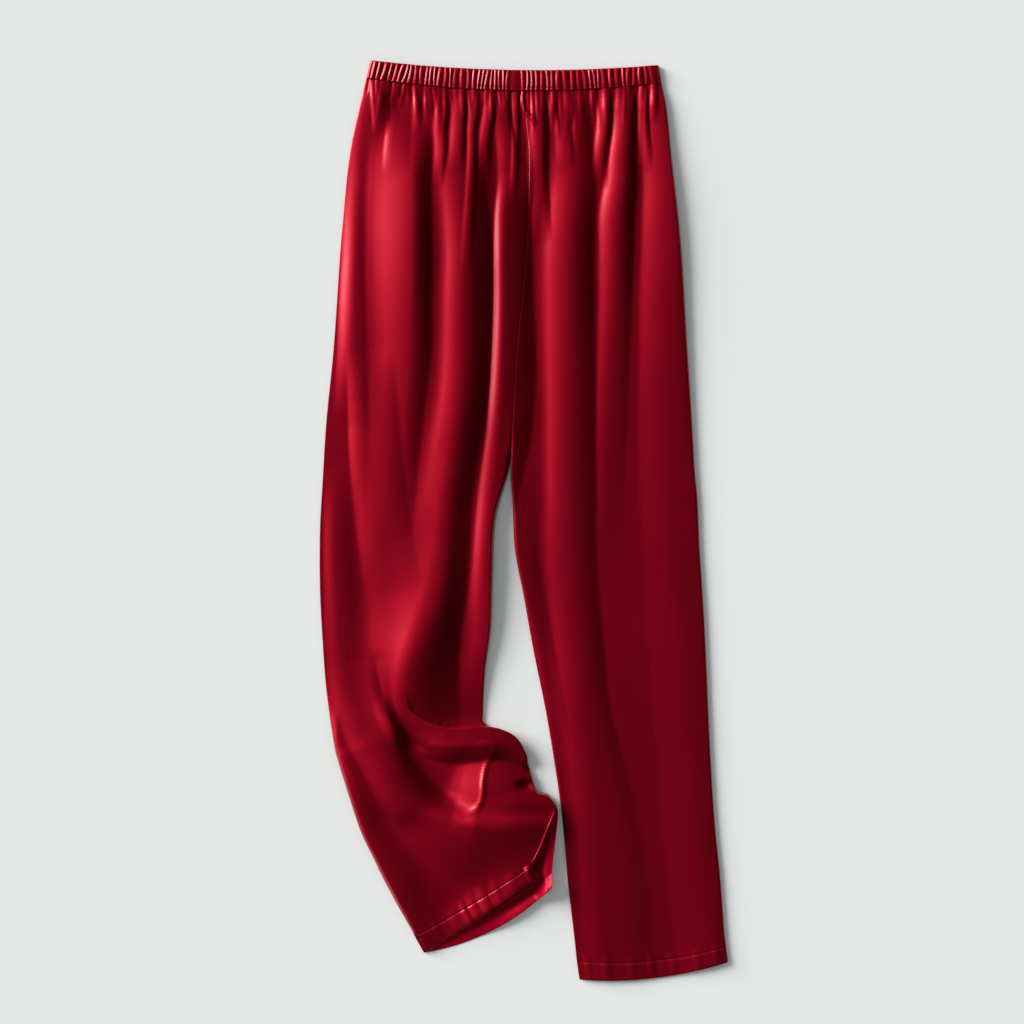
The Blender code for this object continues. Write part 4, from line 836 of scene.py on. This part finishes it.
def cloth_lift(paths, x, y):
    """How far the upper layer stands above its lowest height, and how far folds draw it aside."""
    lift = WAIST_LIFT * np.exp(-(((band_foot(x) - y) / WAIST_LIFT_REACH) ** 2))
    for swell in SWELLS:
        across = ((x - swell.x) / swell.half_width) ** 2
        along = ((y - swell.y) / swell.half_length) ** 2
        lift = lift + swell.height * smooth_step(1 - np.sqrt(across + along))
    aside_x = np.zeros_like(x)
    aside_y = np.zeros_like(x)
    for path, rounding, flat, lean in paths:
        near, share, crest, way_x, way_y = fold_at(path, rounding, flat, x, y)
        lift[near] += crest * share
        if lean:
            fullest = path[-1].max()
            drawn = lean * share**2 * crest / fullest
            aside_x[near] -= way_y * drawn
            aside_y[near] += way_x * drawn
    lift = lift + gather_tails(x, y)
    for index, wave in enumerate(SLOW_WAVES):
        phase = 2 * math.pi * (x / wave.across + y / wave.along) + WAVE_SHIFT * index
        swing_length = WAVE_SWING_LENGTH * wave.along
        swing = WAVE_SWING * np.sin(2 * math.pi * y / swing_length + index)
        lift = lift + wave.height * (1 + np.sin(phase + swing))
    return np.maximum(lift, LEAST_LIFT), aside_x, aside_y


def columns_across(count):
    """Shares of a section's width, closer together towards its edges."""
    even = np.linspace(0.0, 1.0, count + 1)
    crowded = (1 - np.cos(np.pi * even)) / 2
    return even + EDGE_CROWDING * (crowded - even)


def table_rows(sections):
    """Mesh rows from the first section to the hem's stitch line, each a place in the table."""
    places = [0.0]
    for index in range(len(sections) - 2):
        here, there = sections[index], sections[index + 1]
        west = math.hypot(there.west_x - here.west_x, there.west_y - here.west_y)
        east = math.hypot(there.east_x - here.east_x, there.east_y - here.east_y)
        steps = max(1, round((west + east) / 2 / here.gap))
        places += [index + (step + 1) / steps for step in range(steps)]
    return np.array(places)


def plan_rows(sections, places, shares):
    """Plan points of mesh rows that follow the sections, as arrays of X and Y."""
    table = np.array([section[:5] for section in sections], dtype=float)
    index = np.arange(len(sections), dtype=float)
    west_x, west_y, east_x, east_y, bow = (
        through(index, column, places)[:, None] for column in table.T
    )
    width = np.hypot(east_x - west_x, east_y - west_y)
    sag = bow * arch(shares)
    x = west_x + (east_x - west_x) * shares + sag * (east_y - west_y) / width
    y = west_y + (east_y - west_y) * shares - sag * (east_x - west_x) / width
    return x, y, width


def edge_rounding(distance, reach):
    """Height factor near a free edge: a quarter ellipse from the rim up to the full height."""
    away = np.clip(distance / reach, 0.0, 1.0)
    return np.sqrt(1 - (1 - away) ** 2)


def upper_surface(paths, x, y, width, shares, rim, joined_west, joined_east):
    """Plan and height of an upper layer whose free edges come down to its rim."""
    joined = smooth_step((y - CROTCH_Y) / CROTCH_BLEND)
    above_shin = smooth_step(1 + (y - SHIN_TOP_Y) / SHIN_BLEND)
    outer_round = SHIN_EDGE_ROUND + (WEST_EDGE_ROUND - SHIN_EDGE_ROUND) * above_shin
    west = edge_rounding(width * shares, INNER_EDGE_ROUND if joined_west else outer_round)
    east = edge_rounding(width * (1 - shares), EAST_EDGE_ROUND)
    if joined_west:
        west = west + (1 - west) * joined
    if joined_east:
        east = east + (1 - east) * joined
    lift, aside_x, aside_y = cloth_lift(paths, x, y)
    freed = smooth_step((band_foot(x) - y) / SEAM_HELD_REACH)
    held = west * east * (SEAM_HELD + (1 - SEAM_HELD) * freed)
    return x + aside_x * held, y + aside_y * held, rim + lift * held


def follow_foot(x, y, places):
    """Bends the first rows of a panel so that they run along the casing's foot."""
    return y + (band_foot(x[0]) - y[0]) * np.clip(1 - places, 0, 1)[:, None]


# ---- meshes


def grid_faces(rows, columns, wrap=False):
    """Faces of a grid of points, which closes on itself across its columns when it wraps."""
    faces = []
    for row in range(rows - 1):
        for column in range(columns if wrap else columns - 1):
            after = (column + 1) % columns
            faces.append((
                row * columns + column,
                (row + 1) * columns + column,
                (row + 1) * columns + after,
                row * columns + after,
            ))
    return faces


def cloth_lengths(x, y, z):
    """Lengths along the cloth, across and down, at each point of a grid."""
    across = np.sqrt(np.diff(x, axis=1) ** 2 + np.diff(y, axis=1) ** 2 + np.diff(z, axis=1) ** 2)
    down = np.sqrt(np.diff(x, axis=0) ** 2 + np.diff(y, axis=0) ** 2 + np.diff(z, axis=0) ** 2)
    u = np.concatenate([np.zeros((len(x), 1)), np.cumsum(across, axis=1)], axis=1)
    middle = np.concatenate([[0.0], np.cumsum(np.median(down, axis=1))])
    return u, np.repeat(middle[:, None], x.shape[1], axis=1)


def make_mesh(name, points, faces, cloth_map, material):
    """An object from points in millimetres on the drawing, with its cloth lengths as a UV map."""
    placed = (points - np.array([ORIGIN_X, ORIGIN_Y, 0.0])) * MM
    mesh = bpy.data.meshes.new(name)
    mesh.from_pydata(placed.tolist(), [], faces)
    mesh.materials.append(material)
    if cloth_map is not None:
        layer = mesh.uv_layers.new(name="cloth")
        corners = np.zeros(len(mesh.loops), dtype=np.int32)
        mesh.loops.foreach_get("vertex_index", corners)
        layer.data.foreach_set("uv", (cloth_map[corners] * MM).ravel())
    piece = bpy.data.objects.new(name, mesh)
    bpy.context.collection.objects.link(piece)
    bpy.ops.object.select_all(action="DESELECT")
    piece.select_set(True)
    bpy.context.view_layer.objects.active = piece
    return piece


def turn_faces_out(angle):
    """Turns the faces of the active piece outwards and shades those that meet gently as one."""
    bpy.ops.object.mode_set(mode="EDIT")
    bpy.ops.mesh.select_all(action="SELECT")
    bpy.ops.mesh.normals_make_consistent(inside=False)
    bpy.ops.object.mode_set(mode="OBJECT")
    bpy.ops.object.shade_smooth_by_angle(angle=math.radians(angle))


def make_sheet(name, x, y, z, material):
    """A thin closed sheet of satin from a grid of points on its outer face."""
    u, v = cloth_lengths(x, y, z)
    points = np.column_stack([x.ravel(), y.ravel(), z.ravel()])
    cloth_map = np.column_stack([u.ravel(), -v.ravel()])
    piece = make_mesh(name, points, grid_faces(*x.shape), cloth_map, material)
    wall = piece.modifiers.new("cloth", "SOLIDIFY")
    wall.thickness = SATIN * MM
    wall.offset = -1.0
    wall.use_quality_normals = True
    bpy.ops.object.modifier_apply(modifier=wall.name)
    bpy.ops.object.shade_smooth_by_angle(angle=math.radians(SHADED_AS_ONE))
    return piece


def make_back(name, paths, sections, columns, joined_west, joined_east, material):
    """A back panel, tucked under the casing at its top and under its hem at its foot."""
    shares = columns_across(columns)
    stitched, edge = sections[-2:]
    depth = math.hypot(edge.west_x - stitched.west_x, edge.west_y - stitched.west_y)
    places = table_rows(sections)
    places = np.append(places, places[-1] + HEM_TUCK / depth)
    x, y, width = plan_rows(sections, places, shares)
    y = follow_foot(x, y, places)
    x = np.vstack([x[:1], x])
    y = np.vstack([y[:1] + SEAM_TUCK, y])
    width = np.vstack([width[:1], width])
    x, y, z = upper_surface(
        paths, x, y, width, shares, BACK_EDGE_TOP, joined_west, joined_east
    )
    tuck = smooth_step(1 - (band_foot(x) - y) / SEAM_TUCK)
    z = z + (np.minimum(z, SEAM_DEPTH) - z) * tuck
    z[-1] -= HEM_TUCK_DEPTH
    for side, joined in ((0, joined_west), (-1, joined_east)):
        if joined:
            z[:, side] -= SEWN_DEPTH * smooth_step((y[:, side] - CROTCH_Y) / SEWN_BLEND)
    return make_sheet(name, x, y, z, material)


def stitch_sink(step):
    """How far a back hem's face is sunk at a share of its depth below the stitch line."""
    return STITCH_SINK * np.exp(-((step / STITCH_SINK_REACH) ** 2))


def make_hem(name, paths, sections, columns, material):
    """The turned hem of a back panel: its face, its folded edge and the turned-in cloth."""
    shares = columns_across(columns)
    stitched = len(sections) - 2
    x, y, width = plan_rows(sections, stitched + BACK_HEM_STEPS, shares)
    x, y, z = upper_surface(paths, x, y, width, shares, HEM_EDGE_TOP, False, False)
    z -= stitch_sink(BACK_HEM_STEPS)[:, None]
    z[-1] -= BACK_HEM_EDGE_DROP
    z[-2] -= BACK_HEM_LAST_DROP
    steps, drops = np.array(TURNED_IN).T
    inside_x, inside_y, _ = plan_rows(sections, stitched + steps, shares)
    inside_z = z[-3] - drops[:, None]
    grid = (np.vstack([x, inside_x]), np.vstack([y, inside_y]), np.vstack([z, inside_z]))
    return make_sheet(name, *grid, material)


def front_height(x, y, width, shares, curl, hem):
    """Height of a front panel's inner face. On its hem, `hem` is the share of the hem's depth."""
    west = width * shares
    east = width * (1 - shares)
    z = np.full_like(x, FRONT_FACE)
    z += FRONT_TURN * smooth_step(1 - west / FRONT_TURN_REACH)
    z += FRONT_TURN * smooth_step(1 - east / FRONT_TURN_REACH)
    low = smooth_step((CURL_TOP_Y - y) / CURL_BLEND)
    z += curl * smooth_step(CURL_START - east / CURL_REACH) * low
    if hem is not None:
        along = smooth_step((shares - HEM_CURL_FROM) / HEM_CURL_BLEND)
        z += HEM_CURL * curl * smooth_step(hem) * along
    return z


def make_front(name, sections, curl, material):
    """A front panel: a sheet on the table, whose inner face shows only at the open hem."""
    shares = columns_across(FRONT_COLUMNS)
    places = table_rows(sections)
    x, y, width = plan_rows(sections, places, shares)
    y = follow_foot(x, y, places)
    z = front_height(x, y, width, shares, curl, None)
    return make_sheet(name, x, y, z, material)


def make_front_hem(name, sections, curl, material):
    """The hem of a front panel, whose inner ply stands a little above the panel."""
    shares = columns_across(2 * FRONT_COLUMNS)
    steps = FRONT_HEM_STEPS[:, None]
    x, y, width = plan_rows(sections, len(sections) - 2 + FRONT_HEM_STEPS, shares)
    z = front_height(x, y, width, shares, curl, steps)
    z += FRONT_HEM_PLY * smooth_step(steps / FRONT_HEM_PLY_STEP)
    z[-1] -= FRONT_HEM_PLY
    z[-2] -= FRONT_HEM_LAST_DROP
    return make_sheet(name, x, y, z, material)


# ---- the casing


def casing_columns():
    """Columns of the casing's back wall: share of its width, height, lean and curl."""
    columns = [(BAND_END_PLAIN / 2 / CASING_WIDTH, 0.0, 0.0, 0.0)]
    for index, gather in enumerate(gathers):
        start = band_share(gather.west, BAND_FOOT_WEST, BAND_FOOT_EAST)
        end = band_share(gather.east, BAND_FOOT_WEST, BAND_FOOT_EAST)
        if index == WEST_GATHERS:
            join = band_share(JOIN_WEST_X, BAND_FOOT_WEST, BAND_FOOT_EAST)
            columns.append((join, JOIN_START_HEIGHT, 0.0, 0.0))
            for part in JOIN_PARTS:
                columns.append((join + (start - join) * part, JOIN_HEIGHT, 0.0, 0.0))
        for point in GATHER_SHAPE:
            share = start + (end - start) * point.share
            columns.append((share, point.height * gather.height, gather.lean, gather.curl))
    for plain_end in (BAND_END_PLAIN, BAND_END_PLAIN / 2):
        columns.append((1 - plain_end / CASING_WIDTH, 0.0, 0.0, 0.0))
    return np.array(columns)


def casing_end(centre, first_angle):
    """Columns round an end of the casing, from one wall to the other."""
    columns = []
    for step in range(1, END_STEPS):
        angle = first_angle - math.pi * step / END_STEPS
        reach = math.cos(angle) / CASING_WIDTH
        rise = math.sin(angle)
        columns.append((
            centre + CASING_RADIUS * reach, CASING_RADIUS + CASING_RADIUS * rise,
            centre + SLIT_RADIUS * reach, SLIT_MIDDLE + SLIT_RADIUS * rise, 0, 0, 0,
        ))
    return columns


def casing_loop():
    """Columns round the casing: share and height of its outer and inner face, and its gather."""
    columns = casing_columns()
    smooth = np.ones(SMOOTHED_COLUMNS) / SMOOTHED_COLUMNS
    lean = np.convolve(columns[:, 2], smooth, "same")
    curl = np.convolve(columns[:, 3], smooth, "same")
    loop = [
        (share, CASING_TOP, share, SLIT_MIDDLE + SLIT_RADIUS, high, lean[i], curl[i])
        for i, (share, high, _, _) in enumerate(columns)
    ]
    end = CASING_RADIUS / CASING_WIDTH
    loop += casing_end(1 - end, math.pi / 2)
    for share in np.linspace(1 - end, end, UNDERSIDE_COLUMNS):
        loop.append((share, CASING_UNDERSIDE, share, SLIT_MIDDLE - SLIT_RADIUS, 0, 0, 0))
    loop += casing_end(end, -math.pi / 2)
    return np.array(loop).T


def casing_point(share, down):
    """Plan point of the casing at a share of its width and of its depth."""
    west_x = BAND_TOP_WEST[0] + (BAND_FOOT_WEST[0] - BAND_TOP_WEST[0]) * down
    east_x = BAND_TOP_EAST[0] + (BAND_FOOT_EAST[0] - BAND_TOP_EAST[0]) * down
    top = band_edge(share, BAND_TOP_WEST, BAND_TOP_EAST, BAND_TOP_BOW)
    foot = band_edge(share, BAND_FOOT_WEST, BAND_FOOT_EAST, BAND_FOOT_BOW)
    return west_x + (east_x - west_x) * share, top + (foot - top) * down


def make_casing(name, material):
    """The gathered waist casing, a closed loop of cloth over its elastic."""
    outer_share, outer_z, inner_share, inner_z, high, lean, curl = casing_loop()
    is_back = outer_z >= CASING_TOP - 0.01
    rows = []
    for point in CASING_WALL:
        face = min(point.outward, 1.0)
        share = inner_share + (outer_share - inner_share) * face
        x, y = casing_point(share, point.down)
        off_middle = point.down - 0.5
        swing = CASING_LEAN * lean * off_middle + CASING_CURL * curl * (4 * off_middle**2 - 0.5)
        gathered = high * point.fullness
        puffed = np.where(is_back, point.outward - face, 0.0) * BAND_UPPER_WALL
        z = inner_z + (outer_z - inner_z) * face + CASING_GATHER * gathered + puffed
        if point.down < SCALLOPED_PART:
            y = y + CASING_SCALLOP * gathered
        rows.append(np.column_stack([x - swing, y, np.maximum(z, CASING_UNDERSIDE)]))
    points = np.concatenate(rows)
    columns = len(outer_share)
    faces = [face[::-1] for face in grid_faces(len(rows), columns, wrap=True)]
    # The inside of the loop closes the wall behind its face.
    foot = (len(rows) - 1) * columns
    for column in range(columns):
        after = (column + 1) % columns
        faces.append((column, after, foot + after, foot + column))
    u = np.tile(outer_share * CASING_WIDTH, len(rows))
    v = np.repeat([-CASING_DEPTH * point.down for point in CASING_WALL], columns)
    piece = make_mesh(name, points, faces, np.column_stack([u, v]), material)
    turn_faces_out(CASING_SHADED_AS_ONE)
    return piece


# ---- shaders


class Value:
    """A shader output on which sums are written, each of which adds a Math node."""

    def __init__(self, finish, socket):
        self.finish = finish
        self.socket = socket

    def _sum(self, operation, first, second):
        return self.finish.add("ShaderNodeMath", {"operation": operation}, {0: first, 1: second})

    def __add__(self, other):
        return self._sum("ADD", self, other)

    def __sub__(self, other):
        return self._sum("SUBTRACT", self, other)

    def __rsub__(self, other):
        return self._sum("SUBTRACT", other, self)

    def __mul__(self, other):
        return self._sum("MULTIPLY", self, other)

    __radd__ = __add__
    __rmul__ = __mul__


class Finish:
    """A material that is being made."""

    def __init__(self, name, roughness, metallic=0.0, specular=0.5):
        self.material = bpy.data.materials.new(name)
        self.material.use_nodes = True
        self.tree = self.material.node_tree
        self.shader = self.tree.nodes["Principled BSDF"]
        self.set(self.shader, {
            "Roughness": roughness, "Metallic": metallic, "Specular IOR Level": specular,
        })

    def set(self, node, values):
        for key, value in values.items():
            if isinstance(value, Value):
                self.tree.links.new(value.socket, node.inputs[key])
            else:
                node.inputs[key].default_value = value

    def add(self, kind, settings, values, output=0):
        """Any node: its type, its settings, and the values or links of its sockets."""
        node = self.tree.nodes.new(kind)
        for key, value in settings.items():
            setattr(node, key, value)
        self.set(node, values)
        return Value(self, node.outputs[output])

    def noise(self, at, scale, detail=2.0, roughness=0.5):
        """Noise from 0 to 1 at a point, with its own scale along each way of the cloth."""
        placed = self.add("ShaderNodeMapping", {}, {"Vector": at, "Scale": (*scale, 1.0)})
        values = {"Vector": placed, "Scale": 1.0, "Detail": detail, "Roughness": roughness}
        return self.add("ShaderNodeTexNoise", {}, values)

    def between(self, first, second, share):
        """A colour between two colours."""
        values = {"Factor": share, 6: (*first, 1), 7: (*second, 1)}
        return self.add("ShaderNodeMix", {"data_type": "RGBA"}, values, 2)


def satin(name, light, deep, roughness, metallic, specular, sheen):
    """Satin: a smooth weave with fine threads along and across it, and a soft uneven sheen."""
    finish = Finish(name, roughness, metallic, specular)
    finish.set(finish.shader, {"Coat Weight": sheen, "Coat Roughness": 0.275})
    cloth = finish.add("ShaderNodeUVMap", {"uv_map": "cloth"}, {})
    warp = finish.noise(cloth, WARP, 3.0)
    weft = finish.noise(cloth, WEFT, 3.0)
    slub = finish.noise(cloth, SLUB)
    mottle = finish.noise(cloth, MOTTLE)
    finish.set(finish.shader, {
        "Base Color": finish.between(deep, light, mottle * 0.6 + warp * 0.25 + weft * 0.15),
        "Roughness": mottle * 0.06 + weft * 0.05 + slub * 0.04 + (roughness - 0.075),
    })
    weave = warp * 0.45 + weft * 0.4 + slub * 0.35
    bump = finish.add("ShaderNodeBump", {}, {"Height": weave, "Strength": 0.35, "Distance": 0.00022})
    finish.set(finish.shader, {"Normal": bump})
    return finish.material


def plain(name, colour, roughness):
    """A plain finish with a faint grain."""
    finish = Finish(name, roughness)
    place = finish.add("ShaderNodeTexCoord", {}, {}, 3)
    grain = finish.noise(place, (40, 40), 3.0)
    darker = tuple(0.985 * channel for channel in colour)
    finish.set(finish.shader, {"Base Color": finish.between(darker, colour, grain)})
    return finish.material


# ---- stitches


def thread_rings(centre, upward):
    """Points of one short thread, ring after ring along its line."""
    along = centre[-1] - centre[0]
    along /= np.linalg.norm(along)
    side = np.cross(along, upward)
    side /= np.linalg.norm(side)
    up = np.cross(side, along)
    points = []
    for (_, fat), middle in zip(STITCH_RINGS, centre):
        for turn in range(STITCH_SIDES):
            angle = 2 * math.pi * turn / STITCH_SIDES
            out = side * math.cos(angle) + up * math.sin(angle) * STITCH_FLATNESS
            points.append(middle + out * STITCH_RADIUS * fat)
    return points


def thread_faces(first):
    """Faces of one short thread, with its two ends, from its first point on."""
    faces = []
    tail = first + (len(STITCH_RINGS) - 1) * STITCH_SIDES
    for ring in range(first, tail, STITCH_SIDES):
        for turn in range(STITCH_SIDES):
            after = (turn + 1) % STITCH_SIDES
            above = ring + STITCH_SIDES
            faces.append((ring + turn, ring + after, above + after, above + turn))
    faces.append(tuple(range(first, first + STITCH_SIDES))[::-1])
    faces.append(tuple(range(tail, tail + STITCH_SIDES)))
    return faces


def make_stitches(name, line, upward, material):
    """Short threads that lie along a line of points, sunk a little into the cloth."""
    steps = np.concatenate([[0.0], np.cumsum(np.linalg.norm(np.diff(line, axis=0), axis=1))])
    points, faces = [], []
    start = STITCH_GAP
    while start + STITCH_LENGTH < steps[-1]:
        at = [start + STITCH_LENGTH * share for share, _ in STITCH_RINGS]
        centre = np.column_stack([np.interp(at, steps, line[:, axis]) for axis in range(3)])
        faces += thread_faces(len(points))
        points += thread_rings(centre, upward)
        start += STITCH_LENGTH + STITCH_GAP
    piece = make_mesh(name, np.array(points), faces, None, material)
    turn_faces_out(SHADED_AS_ONE)
    return piece


def hem_line(paths, sections):
    """Points along a back hem, just below its stitch line."""
    row = np.array([len(sections) - 2 + STITCH_LINE])
    x, y, width = plan_rows(sections, row, STITCH_LINE_SHARES)
    x, y, z = upper_surface(
        paths, x, y, width, STITCH_LINE_SHARES, HEM_EDGE_TOP, False, False
    )
    return np.column_stack([x[0], y[0], z[0] - stitch_sink(STITCH_LINE) + STITCH_RAISED])


# ---- making the trousers

gathers = draw_gathers()
left_paths = all_paths()
right_paths = all_paths(LEFT_LEG_ALONE)

outer_satin = satin(
    "crimson_satin", light=(0.43, 0.0003, 0.0180), deep=(0.38, 0.0002, 0.0150),
    roughness=0.60, metallic=0.90, specular=0.02, sheen=0.8,
)
inner_satin = satin(
    "crimson_satin_wrong_side", light=(0.44, 0.0003, 0.020), deep=(0.38, 0.0002, 0.016),
    roughness=0.58, metallic=0.45, specular=0.02, sheen=0.12,
)
thread = plain("crimson_thread", (0.20, 0.001, 0.012), 0.6)
paper = plain("pale_table", (0.83, 0.858, 0.838), 0.9)

casing = make_casing("waist_casing", outer_satin)
back_left = make_back(
    "back_panel_left", left_paths, BACK_LEFT_SECTIONS, LEFT_COLUMNS, False, True, outer_satin
)
back_right = make_back(
    "back_panel_right", right_paths, BACK_RIGHT_SECTIONS, RIGHT_COLUMNS, True, False, outer_satin
)
front_left = make_front("front_panel_left", FRONT_LEFT_SECTIONS, LEFT_CURL, inner_satin)
front_right = make_front("front_panel_right", BACK_RIGHT_SECTIONS, 0.0, inner_satin)
hem_left_back = make_hem(
    "back_hem_left", left_paths, BACK_LEFT_SECTIONS, LEFT_COLUMNS, outer_satin
)
hem_right_back = make_hem(
    "back_hem_right", right_paths, BACK_RIGHT_SECTIONS, RIGHT_COLUMNS, outer_satin
)
hem_left_front = make_front_hem("front_hem_left", FRONT_LEFT_SECTIONS, LEFT_CURL, inner_satin)
hem_right_front = make_front_hem("front_hem_right", BACK_RIGHT_SECTIONS, 0.0, inner_satin)
up = np.array([0.0, 0.0, 1.0])
stitches_left = make_stitches(
    "hem_stitches_left", hem_line(left_paths, BACK_LEFT_SECTIONS), up, thread
)
stitches_right = make_stitches(
    "hem_stitches_right", hem_line(right_paths, BACK_RIGHT_SECTIONS), up, thread
)

stands_for = (
    (casing, "waistband"),
    (back_left, "back_left"),
    (back_right, "back_right"),
    (front_left, "front_left"),
    (front_right, "front_right"),
    (hem_left_back, "hem_left_back"),
    (hem_right_back, "hem_right_back"),
    (hem_left_front, "hem_left_front"),
    (hem_right_front, "hem_right_front"),
)
for piece, node in stands_for:
    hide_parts(node)
    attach(piece, BODY)
for piece in (stitches_left, stitches_right):
    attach(piece, BODY)

# ---- the setting

bpy.ops.object.select_all(action="DESELECT")
bpy.ops.mesh.primitive_plane_add(size=9.0, location=(0, 0, 0))
table_top = bpy.context.object
table_top.name = "table_top"
table_top.data.materials.append(paper)

LAMP_ELEVATION = 18.5
LAMP_TURN = 28.0
key = bpy.data.lights.new("window_side", "SUN")
key.energy = 6.0
key.angle = math.radians(40)
key.color = (1.0, 0.99, 0.98)
window = bpy.data.objects.new("window_side", key)
bpy.context.collection.objects.link(window)
level = math.cos(math.radians(LAMP_ELEVATION))
towards = Vector((
    -level * math.cos(math.radians(LAMP_TURN)),
    level * math.sin(math.radians(LAMP_TURN)),
    math.sin(math.radians(LAMP_ELEVATION)),
))
window.rotation_euler = towards.to_track_quat("Z", "Y").to_euler()

sky = bpy.data.worlds.new("studio")
bpy.context.scene.world = sky
sky.use_nodes = True
backdrop = sky.node_tree.nodes["Background"]
backdrop.inputs["Color"].default_value = (0.95, 0.97, 1.0, 1.0)
backdrop.inputs["Strength"].default_value = 0.36
sky.cycles_visibility.glossy = False

CAMERA_HEIGHT = 3.0
CAMERA_PLACE = (-0.0128, 0.0095)
FRAME_WIDTH = 1.113
lens = bpy.data.cameras.new("camera")
lens.sensor_width = 36.0
lens.lens = lens.sensor_width * CAMERA_HEIGHT / FRAME_WIDTH
camera = bpy.data.objects.new("camera", lens)
bpy.context.collection.objects.link(camera)
camera.location = (*CAMERA_PLACE, CAMERA_HEIGHT)
bpy.context.scene.camera = camera
bpy.context.scene.view_settings.view_transform = "Standard"
